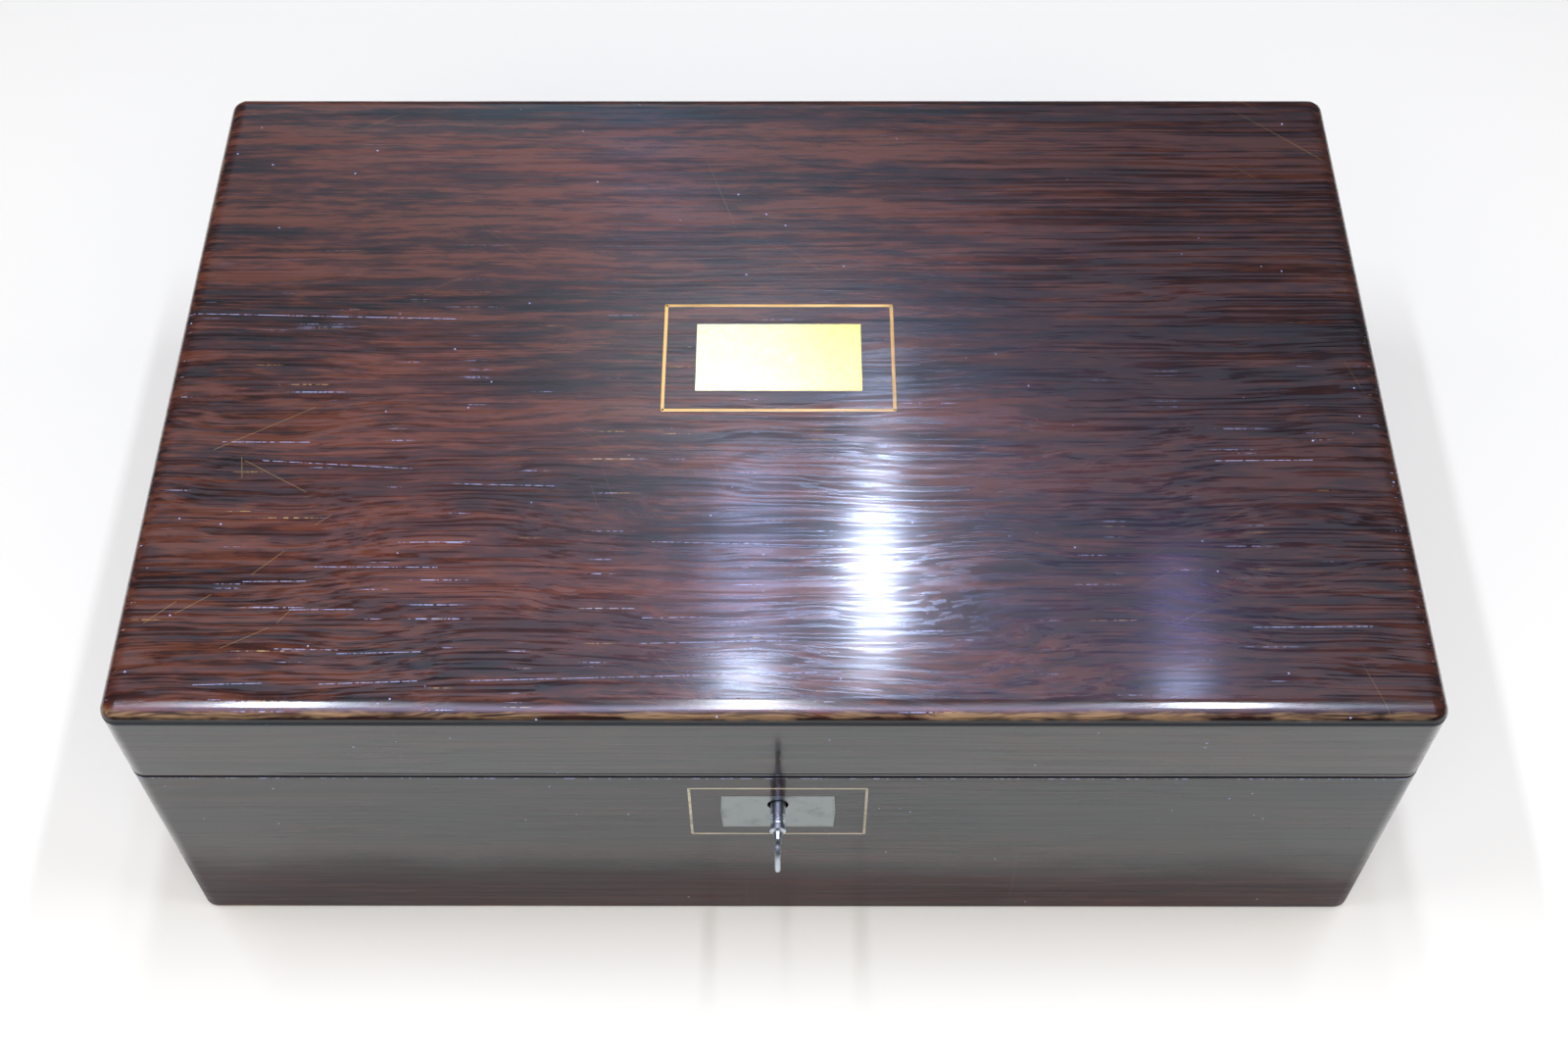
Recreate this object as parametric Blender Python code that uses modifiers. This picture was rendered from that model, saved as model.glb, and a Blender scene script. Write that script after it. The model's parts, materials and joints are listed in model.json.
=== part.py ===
# Victorian writing slope: a rosewood box that opens along a slanted line into a flat writing desk.
# Metres, +Z up. The lock side faces -Y and the hinge side +Y; the origin is the underside's centre.
# The feature that takes the most skill is the slanted parting plane, which the walls, both flaps,
# the ledgers, the hinges and the lock's hooks all follow, so that the open box lies flat.

import math

import bmesh
import bpy
from mathutils import Matrix, Vector

# Case
BOX_WIDTH = 0.400
BOX_DEPTH = 0.260
BOX_HEIGHT = 0.136
LID_FRONT_HEIGHT = 0.0377
WALL = 0.0095
TOP_BOARD = 0.0060
BOTTOM_BOARD = 0.0060
CORNER_ROUND = 0.0055
TOP_ROUND = 0.0053
FOOT_ROUND = 0.0010
LIP_ROUND = 0.0007
ROUND_STEPS = 5

# Fits
GAP = 0.0003
PART_GAP = 0.0005
OVERRUN = 0.002
TOUCH = 0.00001

# Plates and stringing; all of them sit a little right of the middle
FITTINGS_X = 0.0011
LID_STRING_LINE = 0.0012
FRONT_STRING_LINE = 0.0009
STRING_THICK = 0.0010
LID_PLATE_WIDE = 0.0550
LID_PLATE_DEEP = 0.0285
LID_PLATE_Y = 0.0062
LID_STRING_WIDE = 0.0771
LID_STRING_DEEP = 0.0459
PLATE_THICK = 0.0012
ESCUTCHEON_WIDE = 0.0356
ESCUTCHEON_HIGH = 0.0216
ESCUTCHEON_BELOW_PARTING = 0.0240
ESCUTCHEON_BULGE = 0.0005
FRONT_STRING_WIDE = 0.0567
FRONT_STRING_HIGH = 0.0327

# Main hinges
HINGE_X = 0.128
HINGE_WIDE = 0.044
HINGE_REACH = 0.0088
HINGE_THICK = 0.0010
HINGE_BARREL = 0.0026
HINGE_PIN = 0.0012
HINGE_STANDOFF = 0.0003
MIDDLE_KNUCKLE_SHARE = 0.40
BARREL_STEPS = 20

# Writing flaps
FLAP_THICK = 0.0055
FLAP_SINK = 0.0005
FLAP_SIDE_PLAY = 0.0006
FLAP_HINGE_X = 0.120
FLAP_HINGE_WIDE = 0.026
FLAP_HINGE_THICK = 0.0007
FLAP_BARREL = 0.0016
FLAP_PIN = 0.0008
FLAP_HINGE_FALL = 0.0080
LEATHER_THICK = 0.0008
LEATHER_BORDER = 0.016
LEDGER_WIDE = 0.0050
LEDGER_HIGH = 0.0080

# Compartments behind the lock
DIVIDER = 0.0050
DIVIDER_DROP = 0.0030
INKWELL_SIDE = 0.050
INKWELL_FIT = 0.0010
INKWELL_BODY_HIGH = 0.034
INKWELL_CORNER = 0.0050
INKWELL_SHOULDER = 0.0030
INKWELL_BASE = 0.0060
INKWELL_BORE = 0.0175
NECK_RADIUS = 0.0105
NECK_BORE = 0.0075
NECK_HIGH = 0.0060
CAP_RADIUS = 0.0145
CAP_SKIRT = 0.0068
CAP_DOME = 0.0040
CAP_WALL = 0.0013
INK_HEADROOM = 0.0030
INK_FLOOR_THICK = 0.0050
TRAY_BELOW_PARTING = 0.0071
TRAY_THICK = 0.0200
COVE_RADIUS = 0.0200
COVE_WALL = 0.0040
COVE_END = 0.0080
TURN_STEPS = 28

# Lock
LOCK_WIDE = 0.046
LOCK_BELOW_KEY = 0.0127
LOCK_DEEP = 0.0065
LOCK_RIM = 0.0010
LOCK_PLATE = 0.0012
LOCK_TOP_PLATE = 0.0013
DRILL_PIN = 0.0009
DRILL_PIN_LONG = 0.0038
HOOK_X = 0.0100
HOOK_STEM = 0.0022
HOOK_FOOT = 0.0032
HOOK_LONG = 0.0078
HOOK_FOOT_HIGH = 0.0018
HOOK_THICK = 0.0016
HOOK_Y = 0.0057
LINK_PLATE_LONG = 0.036
LINK_PLATE_DEEP = 0.0058
LINK_PLATE_THICK = 0.0012
BOLT_THICK = 0.0023
BOLT_TRAVEL = 0.0030
BOLT_BAR_HIGH = 0.0024
BOLT_TONGUE_HIGH = 0.0018
BOLT_POST = 0.0025
BOLT_HALF_LONG = 0.0175
TALON_LUG = 0.0024
TALON_DROP = 0.0034

# Key, measured out from the face of the box
KEY_BELOW_PARTING = 0.0191
KEY_BARREL = 0.0024
KEY_BORE = 0.0013
KEY_BORE_DEEP = 0.0058
KEY_PLAIN_OUT = 0.0041
KEY_GROOVE = 0.0003
KEY_GROOVE_PITCH = 0.0010
KEY_GROOVES = 3
KEY_COLLAR_OUT = 0.0074
KEY_COLLAR_LONG = 0.0022
KEY_COLLAR_SWELL = 0.0002
KEY_NECK = 0.0016
KEY_NECK_END = 0.0011
KEY_BOW_OUT = 0.0176
KEY_BOW_HALF_LONG = 0.0046
KEY_BOW_HALF_WIDE = 0.0074
KEY_BOW_BAR = 0.00095
KEY_BIT_REACH = 0.0056
KEY_BIT_THICK = 0.0016
KEY_BIT_LONG = 0.0040
KEY_BIT_NOTCH = 0.0009
KEYHOLE_HEAD = 0.0034
KEYHOLE_SLOT = 0.0026
KEYHOLE_DROP = 0.0066

# Places that follow from the sizes
HALF_WIDTH = BOX_WIDTH / 2
HALF_DEPTH = BOX_DEPTH / 2
INNER_X = HALF_WIDTH - WALL
INNER_Y = HALF_DEPTH - WALL
HINGE_Y = HALF_DEPTH + HINGE_STANDOFF
HINGE_Z = BOX_HEIGHT / 2
PARTING_FRONT_Z = BOX_HEIGHT - LID_FRONT_HEIGHT
SLOPE = math.atan2(PARTING_FRONT_Z - HINGE_Z, HINGE_Y + HALF_DEPTH)
HALF_GAP = PART_GAP / 2
TRAY_DEEP = INKWELL_SIDE + 2 * INKWELL_FIT
LONG_DIVIDER_Y = -INNER_Y + TRAY_DEEP
CROSS_DIVIDER_X = INNER_X - INKWELL_SIDE - 2 * INKWELL_FIT
TRAY_PLANE_Z = HINGE_Z + math.tan(SLOPE) * (HINGE_Y - LONG_DIVIDER_Y)
TRAY_TOP_Z = TRAY_PLANE_Z - TRAY_BELOW_PARTING
INKWELL_HIGH = INKWELL_BODY_HIGH + CAP_SKIRT + CAP_DOME + GAP
INK_FLOOR_Z = TRAY_PLANE_Z - INK_HEADROOM - INKWELL_HIGH
KEY_Z = PARTING_FRONT_Z - KEY_BELOW_PARTING
LOCK_BOTTOM_Z = KEY_Z - LOCK_BELOW_KEY
ESCUTCHEON_Z = PARTING_FRONT_Z - ESCUTCHEON_BELOW_PARTING
FLAP_TOP = HALF_GAP + FLAP_SINK
FLAP_AXIS_DEPTH = FLAP_TOP + GAP + FLAP_BARREL
FLAP_AXIS_Y = INNER_Y - GAP - FLAP_BARREL

# The plane's own directions: INWARD runs from the hinges to the lock, OUTWARD_UP stands on the plane
AXIS_X = Vector((1, 0, 0))
AXIS_Y = Vector((0, 1, 0))
AXIS_Z = Vector((0, 0, 1))
INWARD = Vector((0, -math.cos(SLOPE), math.sin(SLOPE)))
OUTWARD_UP = Vector((0, math.sin(SLOPE), math.cos(SLOPE)))
HINGE_AXIS = Vector((0, HINGE_Y, HINGE_Z))

# Colours in linear light, roughness and metallic value
LOOKS = {
    "rosewood": ((0.058, 0.019, 0.014), 0.14, 0.0),
    "mahogany": ((0.115, 0.040, 0.020), 0.42, 0.0),
    "boxwood": ((0.480, 0.330, 0.150), 0.30, 0.0),
    "brass": ((0.720, 0.520, 0.240), 0.24, 1.0),
    "steel": ((0.330, 0.340, 0.360), 0.26, 1.0),
    "leather": ((0.030, 0.010, 0.012), 0.55, 0.0),
    "glass": ((0.700, 0.780, 0.760), 0.05, 0.0),
}


def clear_scene():
    for item in list(bpy.data.objects):
        bpy.data.objects.remove(item, do_unlink=True)


def new_collection(name):
    made = bpy.data.collections.new(name)
    bpy.context.scene.collection.children.link(made)
    return made


clear_scene()
SLOPE_BOX = new_collection("Writing slope")
CUTTERS = new_collection("Cutters")


def plane_point(inward, up, x=0.0):
    # A point given by its distance from the hinge axis along the parting plane and above it
    return HINGE_AXIS + INWARD * inward + OUTWARD_UP * up + AXIS_X * x


def plane_z(y):
    return HINGE_Z + math.tan(SLOPE) * (HINGE_Y - y)


def inward_at(y, up):
    # How far along the plane an upright face at y lies, at a height over the plane
    return (HINGE_Y - y + up * math.sin(SLOPE)) / math.cos(SLOPE)


def finish(item, look):
    colour, roughness, metallic = LOOKS[look]
    material = bpy.data.materials.new(item.name + "_" + look)
    material.use_nodes = True
    shader = material.node_tree.nodes["Principled BSDF"]
    shader.inputs["Base Color"].default_value = (*colour, 1)
    shader.inputs["Roughness"].default_value = roughness
    shader.inputs["Metallic"].default_value = metallic
    if look == "glass":
        shader.inputs["Transmission Weight"].default_value = 1
    item.data.materials.clear()
    item.data.materials.append(material)
    return item


def add_group(name, place, parent=None):
    group = bpy.data.objects.new(name, None)
    SLOPE_BOX.objects.link(group)
    group.location = place
    if parent:
        group.parent = parent
        group.location = Vector(place) - world_place(parent)
    return group


def world_place(item):
    place = Vector(item.location)
    while item.parent:
        item = item.parent
        place += item.location
    return place


def attach(item, group, look):
    # Hangs a finished piece on its body's empty without moving it
    item.location = item.location - world_place(group)
    item.parent = group
    return finish(item, look)


def add_mesh(name, bm, place=(0, 0, 0), turn=None, collection=None):
    mesh = bpy.data.meshes.new(name)
    bmesh.ops.recalc_face_normals(bm, faces=bm.faces)
    bm.to_mesh(mesh)
    bm.free()
    item = bpy.data.objects.new(name, mesh)
    (collection or SLOPE_BOX).objects.link(item)
    if collection is CUTTERS:
        item.hide_render = True
        item.display_type = "WIRE"
    if turn is not None:
        item.rotation_euler = turn.to_euler()
    item.location = place
    return item


def add_box(name, low, high, collection=None):
    low, high = Vector(low), Vector(high)
    bm = bmesh.new()
    bmesh.ops.create_cube(bm, size=1, matrix=Matrix.Diagonal((*(high - low), 1)))
    return add_mesh(name, bm, (low + high) / 2, None, collection)


def add_plane_box(name, x_range, in_range, up_range, collection=None):
    # A box whose faces follow the parting plane
    size = [span[1] - span[0] for span in (x_range, in_range, up_range)]
    middle = [(span[1] + span[0]) / 2 for span in (x_range, in_range, up_range)]
    bm = bmesh.new()
    bmesh.ops.create_cube(bm, size=1, matrix=Matrix.Diagonal((*size, 1)))
    place = plane_point(middle[1], middle[2], middle[0])
    return add_mesh(name, bm, place, Matrix.Rotation(-SLOPE, 3, "X"), collection)


def frame_of(x_axis, y_axis):
    return Matrix((x_axis, y_axis, x_axis.cross(y_axis))).transposed()


def add_outline(name, loops, thick, place, x_axis, y_axis, collection=None):
    # A flat outline, with any holes as further loops, filled and extruded, then made a mesh
    curve = bpy.data.curves.new(name, "CURVE")
    curve.dimensions = "2D"
    curve.fill_mode = "BOTH"
    curve.extrude = thick / 2
    for loop in loops:
        spline = curve.splines.new("POLY")
        spline.points.add(len(loop) - 1)
        spline.use_cyclic_u = True
        for point, corner in zip(spline.points, loop):
            point.co = (corner[0], corner[1], 0, 1)
    return curve_to_mesh(name, curve, place, frame_of(x_axis, y_axis), collection)


def curve_to_mesh(name, curve, place, turn, collection=None):
    shape = bpy.data.objects.new(name + "_curve", curve)
    SLOPE_BOX.objects.link(shape)
    depsgraph = bpy.context.evaluated_depsgraph_get()
    mesh = bpy.data.meshes.new_from_object(shape.evaluated_get(depsgraph), depsgraph=depsgraph)
    bpy.data.objects.remove(shape, do_unlink=True)
    bm = bmesh.new()
    bm.from_mesh(mesh)
    bmesh.ops.remove_doubles(bm, verts=bm.verts, dist=TOUCH)
    return add_mesh(name, bm, place, turn, collection)


def add_turned(name, profile, place, axis, collection=None):
    # Profile points are (radius, distance along the axis); both ends lie on the axis
    bm = bmesh.new()
    verts = []
    for radius, along in profile:
        point = (radius, along, 0) if axis == "Y" else (radius, 0, along)
        verts.append(bm.verts.new(point))
    for first, second in zip(verts, verts[1:]):
        bm.edges.new((first, second))
    item = add_mesh(name, bm, place, None, collection)
    screw = item.modifiers.new("Turned", "SCREW")
    screw.axis = axis
    screw.steps = TURN_STEPS
    screw.render_steps = TURN_STEPS
    screw.use_merge_vertices = True
    screw.merge_threshold = TOUCH
    screw.use_normal_calculate = True
    return item


def add_rod(name, radius, start, end, collection=None):
    start, end = Vector(start), Vector(end)
    bm = bmesh.new()
    bmesh.ops.create_cone(
        bm,
        cap_ends=True,
        segments=BARREL_STEPS,
        radius1=radius,
        radius2=radius,
        depth=(end - start).length,
    )
    turn = (end - start).to_track_quat("Z", "Y").to_matrix()
    return add_mesh(name, bm, (start + end) / 2, turn, collection)


def boolean(target, tool, operation):
    modifier = target.modifiers.new(tool.name, "BOOLEAN")
    modifier.operation = operation
    modifier.solver = "EXACT"
    modifier.object = tool
    return target


def cut(target, tool):
    return boolean(target, tool, "DIFFERENCE")


def fuse(target, tool):
    return boolean(target, tool, "UNION")


def round_edges(item, direction, chosen, radius, steps=ROUND_STEPS):
    # Rounds the edges that run along one axis and whose world ends are all chosen
    bm = bmesh.new()
    bm.from_mesh(item.data)
    picked = []
    for edge in bm.edges:
        run = edge.verts[1].co - edge.verts[0].co
        straight = direction is None or abs(run[direction]) > abs(run.length) * math.cos(SLOPE * 2)
        if straight and all(chosen(vert.co + item.location) for vert in edge.verts):
            picked.append(edge)
    bmesh.ops.bevel(
        bm,
        geom=picked,
        offset=radius,
        offset_type="OFFSET",
        segments=steps,
        profile=0.5,
        affect="EDGES",
        material=-1,
    )
    bmesh.ops.remove_doubles(bm, verts=bm.verts, dist=TOUCH)
    bm.to_mesh(item.data)
    bm.free()
    return item


def follow_plane(item, above, lift):
    # Moves a wall's ends on one side onto a plane parallel to the parting plane
    for vert in item.data.vertices:
        if (vert.co.z > 0) == above:
            vert.co.z = plane_z(vert.co.y + item.location.y) + lift - item.location.z
    return item


def add_wall(name, x_range, y_range, z_range, cut_above, lift):
    low = (x_range[0], y_range[0], z_range[0])
    high = (x_range[1], y_range[1], z_range[1])
    return follow_plane(add_box(name, low, high), cut_above, lift)


def round_wall(wall, outer_y):
    # The long walls carry the rounded corners of the case
    def at_corner(point):
        return abs(point.x) > INNER_X and abs(point.y - outer_y) < TOUCH

    return round_edges(wall, 2, at_corner, CORNER_ROUND)


def base_walls(base):
    lift = -HALF_GAP / math.cos(SLOPE)
    wide = (-HALF_WIDTH, HALF_WIDTH)
    heights = (0, BOX_HEIGHT)
    front = add_wall("base_front_wall", wide, (-HALF_DEPTH, -INNER_Y), heights, True, lift)
    back = add_wall("base_back_wall", wide, (INNER_Y, HALF_DEPTH), heights, True, lift)
    run = (-INNER_Y + GAP, INNER_Y - GAP)
    left = add_wall("base_left_wall", (-HALF_WIDTH, -INNER_X), run, heights, True, lift)
    right = add_wall("base_right_wall", (INNER_X, HALF_WIDTH), run, heights, True, lift)
    ease_lips(front, -HALF_DEPTH, None)
    ease_lips(back, HALF_DEPTH, None)
    ease_lips(left, None, -HALF_WIDTH)
    ease_lips(right, None, HALF_WIDTH)
    round_wall(front, -HALF_DEPTH)
    round_wall(back, HALF_DEPTH)
    inner = (INNER_X - GAP, INNER_Y - GAP)
    bottom = add_box("base_bottom", (-inner[0], -inner[1], 0), (*inner, BOTTOM_BOARD))
    for piece in (front, back, left, right):
        attach(piece, base, "rosewood")
    attach(bottom, base, "mahogany")
    return front, back


def lid_walls(lid):
    lift = HALF_GAP / math.cos(SLOPE)
    wide = (-HALF_WIDTH, HALF_WIDTH)
    heights = (0, BOX_HEIGHT - TOP_BOARD - GAP)
    front = add_wall("lid_front_wall", wide, (-HALF_DEPTH, -INNER_Y), heights, False, lift)
    back = add_wall("lid_back_wall", wide, (INNER_Y, HALF_DEPTH), heights, False, lift)
    run = (-INNER_Y + GAP, INNER_Y - GAP)
    left = add_wall("lid_left_wall", (-HALF_WIDTH, -INNER_X), run, heights, False, lift)
    right = add_wall("lid_right_wall", (INNER_X, HALF_WIDTH), run, heights, False, lift)
    ease_lips(front, -HALF_DEPTH, None)
    ease_lips(back, HALF_DEPTH, None)
    ease_lips(left, None, -HALF_WIDTH)
    ease_lips(right, None, HALF_WIDTH)
    round_wall(front, -HALF_DEPTH)
    round_wall(back, HALF_DEPTH)
    for piece in (front, back, left, right):
        attach(piece, lid, "rosewood")
    return front, back


def ease_lips(wall, outer_y, outer_x):
    # A small round along the outer edges of the parting line and of the foot
    def on_face(point):
        if outer_y is not None:
            return abs(point.y - outer_y) < TOUCH
        return abs(point.x - outer_x) < TOUCH

    def at_parting(point):
        return on_face(point) and abs(point.z - plane_z(point.y)) < PART_GAP

    def at_foot(point):
        return on_face(point) and abs(point.z) < TOUCH

    along = 0 if outer_y is not None else 1
    round_edges(wall, along, at_parting, LIP_ROUND, 2)
    round_edges(wall, along, at_foot, FOOT_ROUND, 2)


def lid_board(lid):
    low = (-HALF_WIDTH, -HALF_DEPTH, BOX_HEIGHT - TOP_BOARD)
    board = add_box("lid_top_board", low, (HALF_WIDTH, HALF_DEPTH, BOX_HEIGHT))
    round_edges(board, 2, lambda point: True, CORNER_ROUND)
    round_edges(board, None, lambda point: point.z > BOX_HEIGHT - TOUCH, TOP_ROUND)
    return attach(board, lid, "rosewood")


def rectangle(wide, high):
    return [(-wide / 2, -high / 2), (wide / 2, -high / 2), (wide / 2, high / 2), (-wide / 2, high / 2)]


def arc(centre, radius, start, end, steps):
    points = []
    for step in range(steps + 1):
        angle = start + (end - start) * step / steps
        points.append((centre[0] + radius * math.cos(angle), centre[1] + radius * math.sin(angle)))
    return points


def inlay_strips(name, host, group, line, wide, high, place, x_axis, y_axis):
    # Four mitred boxwood strips in a groove round a plate; place is on the host's face
    sink = x_axis.cross(y_axis) * (-STRING_THICK / 2)
    groove = [
        rectangle(wide + 2 * GAP, high + 2 * GAP),
        rectangle(wide - 2 * (line + GAP), high - 2 * (line + GAP)),
    ]
    deep = STRING_THICK + GAP + OVERRUN
    outward = x_axis.cross(y_axis)
    centre = Vector(place) + outward * (OVERRUN - deep / 2)
    cut(host, add_outline(name + "_groove", groove, deep, centre, x_axis, y_axis, CUTTERS))
    sides = (
        ("_front" if outward.z else "_bottom", wide, high, x_axis, y_axis),
        ("_right", high, wide, y_axis, -x_axis),
        ("_back" if outward.z else "_top", wide, high, -x_axis, -y_axis),
        ("_left", high, wide, -y_axis, x_axis),
    )
    for ending, long, across, along, up in sides:
        outer, inner = long / 2 - GAP, long / 2 - GAP - line
        edge = -across / 2
        mitred = [(-outer, edge), (outer, edge), (inner, edge + line), (-inner, edge + line)]
        strip = add_outline(name + ending, [mitred], STRING_THICK, Vector(place) + sink, along, up)
        attach(strip, group, "boxwood")


def lid_inlay(lid, board):
    place = (FITTINGS_X, LID_PLATE_Y, BOX_HEIGHT)
    pocket_low = (
        FITTINGS_X - LID_PLATE_WIDE / 2 - GAP,
        LID_PLATE_Y - LID_PLATE_DEEP / 2 - GAP,
        BOX_HEIGHT - PLATE_THICK - GAP,
    )
    pocket_high = (
        FITTINGS_X + LID_PLATE_WIDE / 2 + GAP,
        LID_PLATE_Y + LID_PLATE_DEEP / 2 + GAP,
        BOX_HEIGHT + OVERRUN,
    )
    cut(board, add_box("lid_plate_pocket", pocket_low, pocket_high, CUTTERS))
    centre = Vector(place) - AXIS_Z * (PLATE_THICK / 2)
    outline = [rectangle(LID_PLATE_WIDE, LID_PLATE_DEEP)]
    plate = add_outline("lid_plate", outline, PLATE_THICK, centre, AXIS_X, AXIS_Y)
    attach(plate, lid, "brass")
    size = (LID_STRING_LINE, LID_STRING_WIDE, LID_STRING_DEEP)
    inlay_strips("lid_stringing", board, lid, *size, place, AXIS_X, AXIS_Y)


def keyhole(slot_wide, head, drop):
    # A round head over a straight slot, as (x, z) about the key's axis
    start = math.asin(slot_wide / 2 / head)
    points = arc((0, 0), head, start - math.pi / 2, math.pi * 3 / 2 - start, BARREL_STEPS)
    return points + [(-slot_wide / 2, -drop), (slot_wide / 2, -drop)]


def front_inlay(base, wall):
    face = -HALF_DEPTH
    half_wide, half_high = ESCUTCHEON_WIDE / 2, ESCUTCHEON_HIGH / 2
    bulge = ESCUTCHEON_BULGE
    outer = [
        (-half_wide, -half_high),
        (half_wide, -half_high),
        (half_wide + bulge, 0),
        (half_wide, half_high),
        (-half_wide, half_high),
        (-half_wide - bulge, 0),
    ]
    hole = [(x, z + KEY_Z - ESCUTCHEON_Z) for x, z in keyhole(KEYHOLE_SLOT, KEYHOLE_HEAD, KEYHOLE_DROP)]
    centre = Vector((FITTINGS_X, face + PLATE_THICK / 2, ESCUTCHEON_Z))
    plate = add_outline("escutcheon_plate", [outer, hole], PLATE_THICK, centre, AXIS_X, AXIS_Z)
    attach(plate, base, "brass")
    reach = (half_wide + bulge + GAP, half_high + GAP)
    pocket = add_box(
        "escutcheon_pocket",
        (FITTINGS_X - reach[0], face - OVERRUN, ESCUTCHEON_Z - reach[1]),
        (FITTINGS_X + reach[0], face + PLATE_THICK + GAP, ESCUTCHEON_Z + reach[1]),
        CUTTERS,
    )
    cut(wall, pocket)
    place = (FITTINGS_X, face, ESCUTCHEON_Z)
    size = (FRONT_STRING_LINE, FRONT_STRING_WIDE, FRONT_STRING_HIGH)
    inlay_strips("front_stringing", wall, base, *size, place, AXIS_X, AXIS_Z)
    through = add_outline(
        "keyhole_cut",
        [keyhole(KEYHOLE_SLOT, KEYHOLE_HEAD, KEYHOLE_DROP)],
        WALL,
        (FITTINGS_X, face + WALL / 2, KEY_Z),
        AXIS_X,
        AXIS_Z,
        CUTTERS,
    )
    cut(wall, through)


def leaf_outline(barrel, near, far, reach):
    # A rolled barrel about (0, 0) with its leaf along +x, between two depths below the axis
    start, end = -math.asin(near / barrel), math.pi * 2 - math.asin(far / barrel)
    return [(reach, -near)] + arc((0, 0), barrel, start, end, BARREL_STEPS) + [(reach, -far)]


def add_leaf(name, sizes, place, along, away, middle, group):
    # One hinge leaf; the leaf with the end knuckles also carries the riveted pin
    barrel, thick, near, reach, wide, pin = sizes
    loops = [leaf_outline(barrel, near, near + thick, reach)]
    if middle:
        loops.append(arc((0, 0), pin + GAP, 0, math.pi * 2, BARREL_STEPS)[:-1])
    leaf = add_outline(name, loops, wide, place, along, away)
    half_knuckle = wide * MIDDLE_KNUCKLE_SHARE / 2
    turn = frame_of(along, away)
    spans = [(-half_knuckle - GAP, half_knuckle + GAP)]
    if middle:
        outside = wide / 2 + OVERRUN
        spans = [(half_knuckle, outside), (-outside, -half_knuckle)]
    for number, span in enumerate(spans):
        bm = bmesh.new()
        size = (2 * barrel + OVERRUN + GAP, 2 * barrel + OVERRUN, span[1] - span[0])
        bmesh.ops.create_cube(bm, size=1, matrix=Matrix.Diagonal((*size, 1)))
        offset = Vector(((GAP - OVERRUN) / 2, 0, (span[0] + span[1]) / 2))
        slot_place = Vector(place) + turn @ offset
        cut(leaf, add_mesh(name + "_slot_" + str(number), bm, slot_place, turn, CUTTERS))
    if not middle:
        half = turn @ Vector((0, 0, half_knuckle + OVERRUN))
        fuse(leaf, add_rod(name + "_pin", pin, Vector(place) - half, Vector(place) + half, CUTTERS))
    return attach(leaf, group, "brass")


def main_hinges(base, lid, base_back, lid_back):
    sizes = (HINGE_BARREL, HINGE_THICK, HALF_GAP, HINGE_REACH, HINGE_WIDE, HINGE_PIN)
    for side, label in ((-1, "left"), (1, "right")):
        x = side * HINGE_X
        place = HINGE_AXIS + AXIS_X * x
        name = "hinge_" + label
        add_leaf(name + "_base_leaf", sizes, place, INWARD, OUTWARD_UP, False, base)
        add_leaf(name + "_lid_leaf", sizes, place, INWARD, -OUTWARD_UP, True, lid)
        half = AXIS_X * (HINGE_WIDE / 2 + GAP)
        barrel = add_rod(name + "_barrel_cut", HINGE_BARREL + GAP, place - half, place + half, CUTTERS)
        x_range = (x - HINGE_WIDE / 2 - GAP, x + HINGE_WIDE / 2 + GAP)
        in_range = (-OVERRUN, HINGE_REACH + GAP)
        deep = HALF_GAP + HINGE_THICK + GAP
        below = add_plane_box(name + "_base_bed", x_range, in_range, (-deep, OVERRUN), CUTTERS)
        above = add_plane_box(name + "_lid_bed", x_range, in_range, (-OVERRUN, deep), CUTTERS)
        cut(cut(base_back, below), barrel)
        cut(cut(lid_back, above), barrel)


def flap_axis(sign):
    depth = sign * FLAP_AXIS_DEPTH
    return plane_point(inward_at(FLAP_AXIS_Y, depth), depth)


def add_flap(name, group, fixed_group, sign, free_end):
    # sign is -1 for the flap in the base, which faces up, and 1 for the one in the lid
    axis = flap_axis(sign)
    axis_in = inward_at(FLAP_AXIS_Y, sign * FLAP_AXIS_DEPTH)
    start = axis_in + FLAP_BARREL + GAP
    half = INNER_X - FLAP_SIDE_PLAY
    face, under = sign * FLAP_TOP, sign * (FLAP_TOP + FLAP_THICK)
    ups = (min(face, under), max(face, under))
    board = add_plane_box(name + "_board", (-half, half), (start, free_end), ups)
    x_range = (LEATHER_BORDER - half, half - LEATHER_BORDER)
    in_range = (start + LEATHER_BORDER, free_end - LEATHER_BORDER)
    bed_ups = sorted((face - sign * OVERRUN, face + sign * (LEATHER_THICK + GAP)))
    bed = add_plane_box(
        name + "_bed",
        (x_range[0] - GAP, x_range[1] + GAP),
        (in_range[0] - GAP, in_range[1] + GAP),
        bed_ups,
        CUTTERS,
    )
    cut(board, bed)
    attach(board, group, "mahogany")
    leather_ups = sorted((face, face + sign * LEATHER_THICK))
    attach(add_plane_box(name + "_leather", x_range, in_range, leather_ups), group, "leather")
    near = FLAP_BARREL - FLAP_HINGE_THICK
    common = (FLAP_BARREL, FLAP_HINGE_THICK, near)
    fall = FLAP_THICK - FLAP_BARREL - GAP
    for side, label in ((-1, "left"), (1, "right")):
        place = axis + AXIS_X * (side * FLAP_HINGE_X)
        fixed = (*common, FLAP_HINGE_FALL, FLAP_HINGE_WIDE, FLAP_PIN)
        add_leaf(name + "_fixed_leaf_" + label, fixed, place, AXIS_Z * sign, -AXIS_Y, False, fixed_group)
        moving = (*common, fall, FLAP_HINGE_WIDE, FLAP_PIN)
        add_leaf(name + "_leaf_" + label, moving, place, OUTWARD_UP * sign, -INWARD, True, group)


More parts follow.
